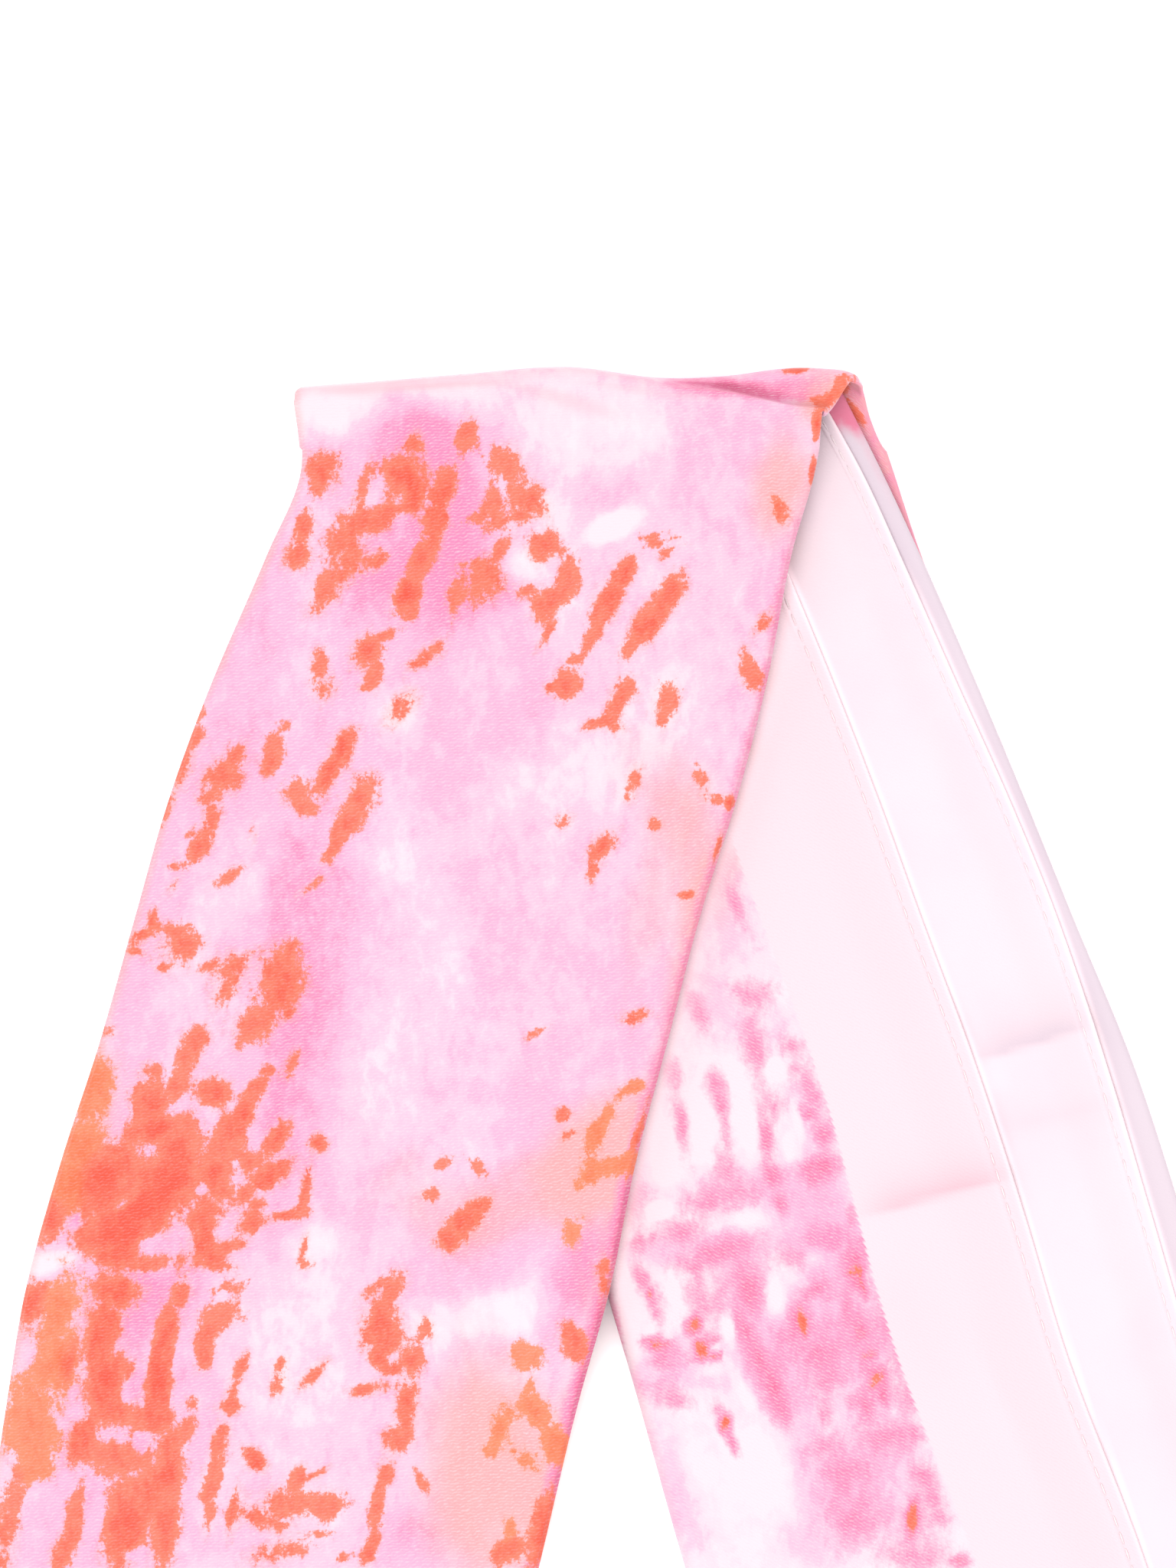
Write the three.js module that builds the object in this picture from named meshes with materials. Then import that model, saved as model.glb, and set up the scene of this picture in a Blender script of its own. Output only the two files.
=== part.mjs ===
// A square bandana, folded lengthwise into a band and laid flat, doubled over at its middle so that its
// two halves, called falls here, spread into an upside-down V. The front fall lies on the back fall.
// Millimetres. X is to the right, Y points from the free ends to the turn, Z is up from the table.
// Every piece is a closed wall between an outer and an inner face, crossed by rows of points.
import * as THREE from "three";

// Driving sizes
const SIDE = 560; // the finished square
const FALL = SIDE / 2; // each half of the doubled band
const CLOTH = 1; // one layer that shows by itself
const OUTERMOST = 1.2; // the layer that lies on the table and goes round the turn
const STACK = 3; // the folded layers of the front fall together
const GAP = 0.3; // between layers, and between pieces of one layer
const HEM = 2.5; // width of the turned hem
const HEM_SWELL = 0.25; // how much thicker the hem is than one layer
const EDGE_LAYERS = 3; // layers that show at the front fall's folded edges
const EDGE_GROOVE = 0.25; // depth of the grooves between them
const LIP = 9; // how far the turn's two lips reach down the falls
const FLAP_START = 3.6; // the back fall's inner flaps reach up into the turn to this line
const FLAP_BEND = 2.2; // radius of the top flap's folded edge
const EDGE_ROOM = CLOTH + 1; // what lies under the top flap stays clear of that fold by this much
const RAMP = 24; // the front fall comes down to the table over this width, beside the back fall

// Heights of the layers above the table
const LOWER_Z = OUTERMOST + GAP;
const MIDDLE_Z = LOWER_Z + CLOTH + GAP;
const TOP_Z = MIDDLE_Z + CLOTH + GAP;
const FRONT_Z = TOP_Z + CLOTH + HEM_SWELL + GAP;
const CROWN_Z = FRONT_Z + STACK;

// Side edges of the front fall, at distances down from the line of the turn.
const FRONT_EDGES = [
  { down: 0, left: -37.6, right: 34.4 },
  { down: 12, left: -36.8, right: 32.4 },
  { down: 23, left: -41.4, right: 29.3 },
  { down: 40, left: -48.9, right: 26.0 },
  { down: 56, left: -54.8, right: 21.9 },
  { down: 72, left: -59.4, right: 16.9 },
  { down: 89, left: -64.2, right: 12.5 },
  { down: 105, left: -69.4, right: 8.3 },
  { down: 122, left: -74.1, right: 4.8 },
  { down: 138, left: -76.8, right: 0.4 },
  { down: 160, left: -80.2, right: -4.8 },
  { down: 215, left: -91.0, right: -18.2 },
  { down: 285, left: -107.0, right: -35.6 },
];

// Side edges of the back fall: the folded left edge, the hems of the top and the middle flap,
// the plain edge of the lower flap, and the fold of the outermost layer.
const BACK_EDGES = [
  { down: 0, left: -37.4, topHem: 18.5, middleHem: 32.3, lower: 35.7, right: 39.4 },
  { down: 12, left: -33.3, topHem: 23.4, middleHem: 39.0, lower: 41.7, right: 43.3 },
  { down: 24, left: -29.2, topHem: 28.3, middleHem: 44.5, lower: 47.2, right: 47.3 },
  { down: 40, left: -23.7, topHem: 34.9, middleHem: 51.6, lower: 54.2, right: 53.9 },
  { down: 56, left: -18.3, topHem: 41.1, middleHem: 58.8, lower: 60.9, right: 60.5 },
  { down: 72, left: -12.7, topHem: 46.9, middleHem: 65.3, lower: 67.4, right: 67.0 },
  { down: 92, left: -5.9, topHem: 54.3, middleHem: 72.0, lower: 75.6, right: 75.2 },
  { down: 112, left: 1.0, topHem: 60.8, middleHem: 78.0, lower: 82.1, right: 81.7 },
  { down: 132, left: 7.1, topHem: 66.9, middleHem: 83.9, lower: 88.1, right: 87.7 },
  { down: 158, left: 14.4, topHem: 76.8, middleHem: 92.8, lower: 97.0, right: 96.6 },
  { down: 215, left: 31.2, topHem: 95.4, middleHem: 111.2, lower: 115.7, right: 115.3 },
  { down: 285, left: 52.0, topHem: 118.0, middleHem: 133.6, lower: 138.4, right: 138.0 },
];

// The crest of the turn seen from above, and the crease that runs in front of it.
const CREST = [
  { across: -38, up: -0.6, crease: -2.6 },
  { across: -27, up: 0.2, crease: -2.0 },
  { across: -15, up: 1.2, crease: -1.0 },
  { across: -1, up: 2.2, crease: 0.0 },
  { across: 11, up: 0.8, crease: -0.6 },
  { across: 20, up: 1.0, crease: -1.1 },
  { across: 29, up: 2.3, crease: -2.9 },
  { across: 36, up: 2.3, crease: -3.6 },
  { across: 42, up: 0.2, crease: -4.2 },
];
const TROUGH = { from: 10, full: 27, depth: 1.9 }; // the dip behind that crease, deepening to the right

// Side edges of the turn, from its front lip (0) round to its lip on the table (1).
const TURN_EDGES = [
  { around: 0, left: -36.9, right: 33.0 },
  { around: 0.3, left: -37.7, right: 34.0 },
  { around: 0.45, left: -37.4, right: 35.6 },
  { around: 0.62, left: -36.6, right: 39.2 },
  { around: 0.8, left: -36.4, right: 40.6 },
  { around: 1, left: -34.3, right: 42.3 },
];

// Soft creases in the top flap of the back fall: the middle of each, its half length and half width,
// the angle of its run, and how high it stands.
const CREASES = [
  { across: 47, down: 109, long: 14, wide: 3, angle: 16, high: 0.5 },
  { across: 58, down: 138, long: 12, wide: 3, angle: -66, high: 0.4 },
  { across: 63, down: 186, long: 17, wide: 3.4, angle: 14, high: 0.5 },
];
const LIFTED_HEM = { from: 78, full: 100, wide: 7, high: 0.7 }; // the top flap's hem stands off lower down

const PRINT = 0xf3b4d6; // tie-dyed face of the cloth
const PLAIN = 0xfbf1f8; // unprinted border and wrong side
const SATIN = 0.55;

// A column of a table at any value of its first column, on a smooth curve through the rows.
function column(table, name, at) {
  const key = Object.keys(table[0])[0];
  const last = table.length - 1;
  let i = 0;
  while (i < last - 1 && table[i + 1][key] < at) i++;
  const slope = (k) => {
    const before = table[Math.max(k - 1, 0)];
    const after = table[Math.min(k + 1, last)];
    return (after[name] - before[name]) / (after[key] - before[key]);
  };
  const span = table[i + 1][key] - table[i][key];
  const t = THREE.MathUtils.clamp((at - table[i][key]) / span, 0, 1);
  const rise = table[i + 1][name] - table[i][name];
  const start = slope(i) * span;
  const end = slope(i + 1) * span;
  return table[i][name] + t * start + t * t * (3 * rise - 2 * start - end)
    + t * t * t * (start + end - 2 * rise);
}

// Numbers from first to last, both included.
function steps(first, last, count) {
  return Array.from({ length: count + 1 }, (_, i) => first + ((last - first) * i) / count);
}

// A named mesh closed between two grids of points, outer[row][place] and inner[row][place].
function wall(name, colour, outer, inner) {
  const rows = outer.length;
  const places = outer[0].length;
  const points = [...outer.flat(), ...inner.flat()].flatMap((p) => [p.x, p.y, p.z]);
  const out = (i, j) => i * places + j;
  const inn = (i, j) => (rows + i) * places + j;
  const faces = [];
  const quad = (a, b, c, d) => faces.push(a, b, c, a, c, d);
  for (let i = 0; i < rows - 1; i++) {
    for (let j = 0; j < places - 1; j++) {
      quad(out(i, j), out(i + 1, j), out(i + 1, j + 1), out(i, j + 1));
      quad(inn(i, j), inn(i, j + 1), inn(i + 1, j + 1), inn(i + 1, j));
    }
    quad(out(i, 0), inn(i, 0), inn(i + 1, 0), out(i + 1, 0));
    quad(out(i, places - 1), out(i + 1, places - 1), inn(i + 1, places - 1), inn(i, places - 1));
  }
  for (let j = 0; j < places - 1; j++) {
    quad(out(0, j), out(0, j + 1), inn(0, j + 1), inn(0, j));
    quad(out(rows - 1, j), inn(rows - 1, j), inn(rows - 1, j + 1), out(rows - 1, j + 1));
  }
  const geometry = new THREE.BufferGeometry();
  geometry.setAttribute("position", new THREE.Float32BufferAttribute(points, 3));
  geometry.setIndex(faces);
  geometry.computeVertexNormals();
  const material = new THREE.MeshStandardMaterial({ color: colour, roughness: SATIN, metalness: 0 });
  const mesh = new THREE.Mesh(geometry, material);
  mesh.name = name;
  return mesh;
}

// A fall is crossed by straight stations. The first is level, as the turn is, and the last is square to
// the fall, so they lean over on the way down. lean is how much lower the last one's right end is.
const FRONT_FALL = { edges: FRONT_EDGES, lean: 18 };
const BACK_FALL = { edges: BACK_EDGES, lean: -26 };
const END = FALL * 0.955; // a leaning fall ends this far down, at its middle

// The point at share t of a station, between the left edge, moved in by inset, and the named edge.
function stationPoint(fall, edgeName, down, t, inset = 0) {
  const half = (fall.lean * THREE.MathUtils.smoothstep(down, LIP, FALL * 0.7)) / 2;
  const left = column(fall.edges, "left", down - half);
  const right = column(fall.edges, "right", down + half);
  const downAt = (share) => THREE.MathUtils.lerp(down - half, down + half, share);
  const edgeShare = steps(1, 1, 3).reduce(
    (share) => (column(fall.edges, edgeName, downAt(share)) - left) / (right - left),
    1,
  );
  const share = THREE.MathUtils.lerp(inset / (right - left), edgeShare, t);
  return { x: THREE.MathUtils.lerp(left, right, share), y: -downAt(share) };
}

// Stations from start to the end of a fall, closer where the hem crosses the end.
function stations(start, count, short = 0) {
  const end = END - short;
  return [...steps(start, end - HEM - GAP, count), end - HEM, end - HEM * 0.3, end];
}

// How much the hem across the end of a fall raises its face.
function endHem(down, short = 0) {
  return down > END - short - HEM - GAP / 2 && down < END - short ? HEM_SWELL : 0;
}

// Samples across a rounded slab: t is the place and rise the share of full height. The folded edges
// are drawn in by the grooves between the layers.
function slabProfile(width, thick, layers, count) {
  const r = thick / 2;
  const edge = steps(8, 90, 6).map((degrees) => {
    const a = THREE.MathUtils.degToRad(degrees);
    const groove = EDGE_GROOVE * Math.sin(layers * a) ** 2;
    return { t: (r * (1 - Math.cos(a)) + groove * Math.cos(a)) / width, rise: Math.sin(a) };
  });
  const flat = steps(r / width, 1 - r / width, count).slice(1, -1).map((t) => ({ t, rise: 1 }));
  const farEdge = edge.map(({ t, rise }) => ({ t: 1 - t, rise })).reverse();
  return [...edge, ...flat, ...farEdge];
}

// Height of the table, or of the back fall, under the front fall.
function bed(x, y) {
  const edge = column(BACK_EDGES, "left", -y);
  return FRONT_Z * THREE.MathUtils.smoothstep(x, edge - RAMP, edge - 1);
}

// The front fall: its folded layers as one slab, draped over the back fall.
function frontFall() {
  const profile = slabProfile(FALL / 4, STACK, EDGE_LAYERS, 14);
  const half = STACK / 2;
  const grid = (side) => stations(LIP + GAP, 28).map((down) => profile.map(({ t, rise }) => {
    const { x, y } = stationPoint(FRONT_FALL, "right", down, t);
    const swell = side > 0 ? endHem(down) * rise : 0;
    return new THREE.Vector3(x, y, bed(x, y) + half + side * half * rise + swell);
  }));
  return wall("front_fall", PRINT, grid(1), grid(-1));
}

// A section of the turn: a curve from the front lip, over the crease, the trough and the crest,
// and round to the lip on the table. It holds Y and Z.
function turnSection(x) {
  const up = column(CREST, "up", x);
  const crease = column(CREST, "crease", x);
  const dip = TROUGH.depth * THREE.MathUtils.smoothstep(x, TROUGH.from, TROUGH.full);
  const middle = CROWN_Z / 2;
  return new THREE.SplineCurve([
    new THREE.Vector2(-LIP, CROWN_Z),
    new THREE.Vector2((crease - LIP) / 2, CROWN_Z + 0.1),
    new THREE.Vector2(crease - 0.4, CROWN_Z - 0.1),
    new THREE.Vector2((crease + up) / 2 - 0.2, CROWN_Z - 0.9 - dip),
    new THREE.Vector2(up - 0.5, middle + 1.9 - dip * 0.4),
    new THREE.Vector2(up, middle - 0.6),
    new THREE.Vector2(up - 1.6, 0.55),
    new THREE.Vector2(up - 4.2, 0),
    new THREE.Vector2(-LIP, 0),
  ]);
}

// The turn: the outermost layer goes over the top from the front fall and back under the back fall.
function topTurn() {
  const grid = (depth) => steps(0, 1, 28).map((t) => steps(0, 1, 24).map((around) => {
    const left = column(TURN_EDGES, "left", around);
    const right = column(TURN_EDGES, "right", around);
    const x = THREE.MathUtils.lerp(left, right, t);
    const section = turnSection(x);
    const p = section.getPoint(around);
    const along = section.getTangent(around);
    return new THREE.Vector3(x, p.x + along.y * depth, Math.max(p.y - along.x * depth, 0));
  }));
  return wall("top_turn", PRINT, grid(0), grid(OUTERMOST));
}

// The back fall's outermost layer, flat on the table, with a rounded fold for its right edge.
function outermostLayer() {
  const profile = slabProfile(FALL / 4, OUTERMOST, 1, 8);
  const half = OUTERMOST / 2;
  const grid = (side) => stations(LIP + GAP, 24).map((down) => profile.map(({ t, rise }) => {
    const { x, y } = stationPoint(BACK_FALL, "right", down, t, EDGE_ROOM);
    return new THREE.Vector3(x, y, half + side * half * rise);
  }));
  return wall("outermost_layer", PRINT, grid(1), grid(-1));
}

// How much the creases, and the hem where it stands off, raise the top flap at a place.
function relief(x, y) {
  return CREASES.reduce((sum, crease) => {
    const a = THREE.MathUtils.degToRad(crease.angle);
    const dx = x - crease.across;
    const dy = y + crease.down;
    const along = (dx * Math.cos(a) + dy * Math.sin(a)) / crease.long;
    const off = (dy * Math.cos(a) - dx * Math.sin(a)) / crease.wide;
    return sum + crease.high * Math.exp(-along * along - off * off);
  }, 0);
}
function hemLift(x, y) {
  const toHem = column(BACK_EDGES, "topHem", -y) - x;
  return LIFTED_HEM.high * THREE.MathUtils.smoothstep(-y, LIFTED_HEM.from, LIFTED_HEM.full)
    * (1 - THREE.MathUtils.smoothstep(toHem, 0, LIFTED_HEM.wide));
}

// A flat flap of the back fall, between the top flap's fold and its own right edge.
function flatFlap(name, edgeName, z, short, trim) {
  const grid = (height) => stations(FLAP_START, 24, short).map((down) => steps(0, 1, 6).map((t) => {
    const { x, y } = stationPoint(BACK_FALL, edgeName, down, t, EDGE_ROOM);
    return new THREE.Vector3(x - trim * t, y, z + height);
  }));
  return wall(name, PLAIN, grid(CLOTH), grid(0));
}

// The top flap: flat on the flaps below, creased, and folded down to the table at its left edge.
function topFlap() {
  const bend = [0, 30, 60, 90].map((degrees) => THREE.MathUtils.degToRad(degrees));
  const top = TOP_Z + CLOTH;
  const grid = (depth) => stations(LIP + GAP, 48, TOP_SHORT).map((down) => {
    const swell = depth > 0 ? 0 : endHem(down, TOP_SHORT);
    const foldPoint = (inset, z) => {
      const { x, y } = stationPoint(BACK_FALL, "topHem", down, 0, inset);
      return new THREE.Vector3(x, y, z);
    };
    const radius = FLAP_BEND - depth;
    const fold = bend.map((a) => foldPoint(
      FLAP_BEND - radius * Math.cos(a),
      top - FLAP_BEND + radius * Math.sin(a),
    ));
    const flat = steps(0, 1, 12).slice(1).map((t) => {
      const { x, y } = stationPoint(BACK_FALL, "topHem", down, t, FLAP_BEND);
      const placed = x - (HEM + GAP) * t;
      return new THREE.Vector3(placed, y, top - depth + swell + relief(placed, y) + hemLift(placed, y));
    });
    return [foldPoint(depth, 0), ...fold, ...flat];
  });
  return wall("top_flap", PRINT, grid(0), grid(CLOTH));
}

// A turned hem along a flap's right edge: a rounded strip a little thicker than the cloth.
const HEM_SECTION = [
  { inset: HEM, rise: 0.6 },
  { inset: HEM * 0.8, rise: 0.95 },
  { inset: HEM * 0.35, rise: 1 },
  { inset: HEM * 0.1, rise: 0.8 },
  { inset: 0, rise: 0.35 },
];
function sideHem(name, edgeName, start, short, baseAt) {
  const thick = CLOTH + HEM_SWELL;
  const grid = (share) => stations(start, 36, short).map((down) => {
    const { x, y } = stationPoint(BACK_FALL, edgeName, down, 1);
    return HEM_SECTION.map(({ inset, rise }) => (
      new THREE.Vector3(x - inset, y, baseAt(x, y) + share * thick * rise)
    ));
  });
  return wall(name, PLAIN, grid(1), grid(0));
}

// The flaps' ends are stepped, because each goes round the one below.
const TOP_SHORT = 1.6;
const MIDDLE_SHORT = 0.6;
const LOWER_SHORT = -0.8;

const bandana = new THREE.Group();
bandana.add(
  topTurn(),
  frontFall(),
  outermostLayer(),
  flatFlap("lower_flap", "lower", LOWER_Z, LOWER_SHORT, 0),
  flatFlap("middle_flap", "middleHem", MIDDLE_Z, MIDDLE_SHORT, HEM + GAP),
  sideHem("middle_hem", "middleHem", FLAP_START, MIDDLE_SHORT, () => MIDDLE_Z),
  topFlap(),
  sideHem("top_hem", "topHem", LIP + GAP, TOP_SHORT, (x, y) => TOP_Z + relief(x, y) + hemLift(x, y)),
);

// The origin goes under the middle of the whole, on the table.
const box = new THREE.Box3().setFromObject(bandana);
const middle = box.getCenter(new THREE.Vector3());
bandana.position.set(-middle.x, -middle.y, -box.min.z);

export default bandana;
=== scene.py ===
# A square tie-dyed bandana, folded lengthwise into a band, doubled over at its middle and laid flat, so
# that its two halves, called falls here, spread into an upside-down V. The front fall lies on the back
# fall. Plan sizes are in millimetres from the line of the turn: across to the right, down to the ends.
import math

import bmesh
import bpy
import numpy as np
from mathutils import Matrix, Vector


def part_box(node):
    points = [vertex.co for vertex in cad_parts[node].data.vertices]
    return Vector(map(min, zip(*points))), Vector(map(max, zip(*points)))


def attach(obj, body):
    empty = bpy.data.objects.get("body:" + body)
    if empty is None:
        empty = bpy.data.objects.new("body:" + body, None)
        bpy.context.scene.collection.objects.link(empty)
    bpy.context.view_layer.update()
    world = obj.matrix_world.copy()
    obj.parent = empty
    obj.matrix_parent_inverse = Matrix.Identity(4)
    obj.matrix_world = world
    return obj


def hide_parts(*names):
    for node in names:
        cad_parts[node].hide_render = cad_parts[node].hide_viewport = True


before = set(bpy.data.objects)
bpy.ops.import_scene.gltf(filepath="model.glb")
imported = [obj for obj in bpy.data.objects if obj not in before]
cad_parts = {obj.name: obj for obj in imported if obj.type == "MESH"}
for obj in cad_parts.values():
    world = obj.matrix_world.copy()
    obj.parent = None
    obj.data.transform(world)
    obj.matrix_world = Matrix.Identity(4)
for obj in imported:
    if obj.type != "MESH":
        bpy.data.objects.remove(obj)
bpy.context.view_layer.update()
scene = bpy.context.scene
MM = 0.001

# ---------------------------------------------------------------------------------------------------
# Camera. It looks straight down through a long lens, at the turn and the upper half of both falls.
VIEW_ACROSS = -12.1
VIEW_UP = 85.0
VIEW_TALL = 211.1  # how much it takes in from top to bottom, at VIEW_LEVEL
VIEW_LEVEL = 6.5
LENS = 200
SENSOR = 36


def put(name, data):
    """An object that shows some data, in the scene."""
    made = bpy.data.objects.new(name, data)
    scene.collection.objects.link(made)
    return made


camera_data = bpy.data.cameras.new("camera")
camera_data.lens = LENS
camera_data.sensor_width = SENSOR
camera = put("camera", camera_data)
camera.location = Vector((VIEW_ACROSS, VIEW_UP, VIEW_LEVEL + VIEW_TALL * LENS / SENSOR)) * MM
scene.camera = camera
scene.view_settings.view_transform = "Standard"


# ---------------------------------------------------------------------------------------------------
# Table and light. A white table top under a large soft lamp, low on the left towards the free ends,
# with even light from all round.
TABLE_HALF = 3.0
TABLE_DROP = 0.3 * MM  # how far the table top lies below the cloth
ROOM_LIGHT = 1.58
LAMP_PLACE = Vector((-0.46, -0.38, 1.2))
LAMP_AIM = Vector((0, 0.05, 0))
LAMP_WIDE = 0.9
LAMP_POWER = 9.4


def linear(red, green, blue):
    """A colour given as 0 to 255 a channel, as the shaders take it."""
    def channel(value):
        value /= 255
        return value / 12.92 if value <= 0.04045 else ((value + 0.055) / 1.055) ** 2.4
    return (channel(red), channel(green), channel(blue), 1)


def fill(node, values):
    """Sets a shader node's inputs by name."""
    for label, value in values.items():
        node.inputs[label].default_value = value


table_mesh = bmesh.new()
bmesh.ops.create_grid(table_mesh, x_segments=1, y_segments=1, size=TABLE_HALF)
bmesh.ops.translate(table_mesh, verts=table_mesh.verts, vec=(0, 0, -TABLE_DROP))
table_data = bpy.data.meshes.new("table_top")
table_mesh.to_mesh(table_data)
table_mesh.free()
table_top = put("table_top", table_data)
table_paint = bpy.data.materials.new("table_paint")
table_paint.use_nodes = True
fill(table_paint.node_tree.nodes["Principled BSDF"], {
    "Base Color": linear(255, 255, 255), "Roughness": 0.9, "Specular IOR Level": 0.1,
})
table_data.materials.append(table_paint)

world = bpy.data.worlds.new("studio")
world.use_nodes = True
fill(world.node_tree.nodes["Background"], {"Color": (1, 1, 1, 1), "Strength": ROOM_LIGHT})
scene.world = world

lamp_data = bpy.data.lights.new("soft_lamp", "AREA")
lamp_data.shape = "DISK"
lamp_data.size = LAMP_WIDE
lamp_data.energy = LAMP_POWER
lamp = put("soft_lamp", lamp_data)
lamp.location = LAMP_PLACE
lamp.rotation_euler = (LAMP_AIM - LAMP_PLACE).to_track_quat("-Z", "Y").to_euler()


# ---------------------------------------------------------------------------------------------------
# Outermost layer. One printed layer runs from the end of the front fall, over the turn and back along
# the table under the back fall. On the front fall the layers inside it are drawn with it, as one slab
# whose folded sides show them as soft ridges.
SIDE = 560
FALL = SIDE / 2
CLOTH = 1  # a layer as drawn: the cloth and the air beside it
OUTERMOST = 1.2
STACK = 3
LAYERS = 3  # how many soft ridges the stack's folded sides show
GROOVE = 0.3
GAP = 0.3
HEM = 2.5
HEM_SWELL = 0.25
LIP = 9  # the turn ends and the falls start this far down
EDGE_ROOM = 2  # how far the layers below keep in from the left edge of the back fall
RAMP = 24  # how far the front fall takes to come down from the back fall to the table
FRONT_Z = OUTERMOST + 3 * (CLOTH + GAP) + HEM_SWELL + GAP
CROWN_Z = FRONT_Z + STACK
END = FALL * 0.955  # how far down the free ends lie, as each fall runs at a slant
SEEN_TO = 170  # the camera sees the falls down to about here
SHARP = math.radians(50)

# The plan of both falls: how far across each edge lies, at places down from the line of the turn. lean is
# how much farther down a free end's right corner lies than its left one.
FRONT_FALL = {
    "lean": 18,
    "down": [0, 12, 23, 40, 56, 72, 89, 105, 122, 138, 160, 215, 285],
    "left": [-37.6, -36.8, -41.4, -48.9, -54.8, -59.4, -64.2, -69.4, -74.1, -76.8, -80.2, -91, -107],
    "right": [34.4, 32.4, 29.3, 26, 21.9, 16.9, 12.5, 8.3, 4.8, 0.4, -4.8, -18.2, -35.6],
}
BACK_FALL = {
    "lean": -26,
    "down": [0, 12, 24, 40, 56, 72, 92, 112, 132, 158, 215, 285],
    "left": [-37.4, -33.3, -29.2, -23.7, -18.3, -12.7, -5.9, 1, 7.1, 14.4, 31.2, 52],
    "top_hem": [18.5, 23.4, 28.3, 34.9, 41.1, 46.9, 54.3, 60.8, 66.9, 76.8, 95.4, 118],
    "middle_hem": [32.3, 39, 44.5, 51.6, 58.8, 65.3, 72, 78, 83.9, 92.8, 111.2, 133.6],
    "lower": [35.7, 41.7, 47.2, 54.2, 60.9, 67.4, 75.6, 82.1, 88.1, 97, 115.7, 138.4],
    "right": [39.4, 43.3, 47.3, 53.9, 60.5, 67, 75.2, 81.7, 87.7, 96.6, 115.3, 138],
}
# The turn from left to right: how far up the plan its crest lies, and the crease in front of the crest.
CREST = {
    "across": [-38, -27, -15, -1, 11, 20, 29, 35.5, 37.6, 39, 42],
    "up": [-0.6, 0.2, 1.2, 2.2, 0.8, 1, 2.1, 1.9, 1.4, 0.4, -1],
    "crease": [-2.6, -2, -1, 0, -0.6, -1.1, -2.9, -3.5, -3.6, -3.8, -4.2],
}
TROUGH_FROM, TROUGH_FULL = 5, 24  # the crease sharpens over this stretch
# The turn's two ends, from the front lip (0) round to the table (1).
TURN = {
    "around": [0, 0.2, 0.3, 0.4, 0.5, 0.6, 0.7, 0.8, 0.9, 1],
    "left": [-36.9, -37.6, -37.7, -37.6, -37.6, -37.4, -37, -36.6, -35, -32.3],
    "right": [33, 33.4, 33.8, 34.3, 35.6, 37.7, 38.8, 39.2, 40, 42.3],
}
TURN_REACH = 37.7  # from the turn's left end to the middle of its line
turn_low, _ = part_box("top_turn")
ORIGIN = np.array([turn_low.x + TURN_REACH * MM, turn_low.y + LIP * MM, 0])


def read(table, name, at):
    """A column of a table at any place down, across or around, on a smooth curve through its rows."""
    keys = np.array(table[next(k for k in table if k in ("down", "across", "around"))], float)
    rows = np.array(table[name], float)
    at = np.asarray(at, float)
    last = len(keys) - 1
    every = np.arange(len(keys))
    before, after = np.maximum(every - 1, 0), np.minimum(every + 1, last)
    slope = (rows[after] - rows[before]) / (keys[after] - keys[before])
    i = np.clip(np.searchsorted(keys, at) - 1, 0, last - 1)
    span = keys[i + 1] - keys[i]
    t = np.clip((at - keys[i]) / span, 0, 1)
    rise, start, end = rows[i + 1] - rows[i], slope[i] * span, slope[i + 1] * span
    return rows[i] + t * start + t**2 * (3 * rise - 2 * start - end) + t**3 * (start + end - 2 * rise)


def smooth(at, low, high):
    """0 below low and 1 above high, on a smooth step between."""
    t = np.clip((np.asarray(at, float) - low) / (high - low), 0, 1)
    return t * t * (3 - 2 * t)


def hump(off, width, power=2):
    """1 in the middle, where off is 0, and fading on both sides over the width."""
    return np.exp(-(off / width) ** power)


def blend(a, b, t):
    return a + (b - a) * t


def station(fall, edge, down, share, inset, right_inset=None):
    """Points across a fall, from its left edge to the named edge, and inset from both. A fall is crossed
    by straight stations, level at the turn and square to the fall at its end."""
    half = fall["lean"] * smooth(down, LIP, FALL * 0.7) / 2
    left = read(fall, "left", down - half)
    width = read(fall, "right", down + half) - left
    edge_share = np.ones_like(width)
    for _ in range(4):
        edge_share = (read(fall, edge, down - half + 2 * half * edge_share) - left) / width
    right_inset = inset if right_inset is None else right_inset
    s = blend(inset / width, edge_share - right_inset / width, share)
    return left + width * s, -(down - half + 2 * half * s)


def bed(x, y):
    """How high the front fall lies: on the table, or on the back fall and down its side."""
    edge = read(BACK_FALL, "left", -y)
    return FRONT_Z * smooth(x, edge - RAMP, edge - 1)


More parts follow.
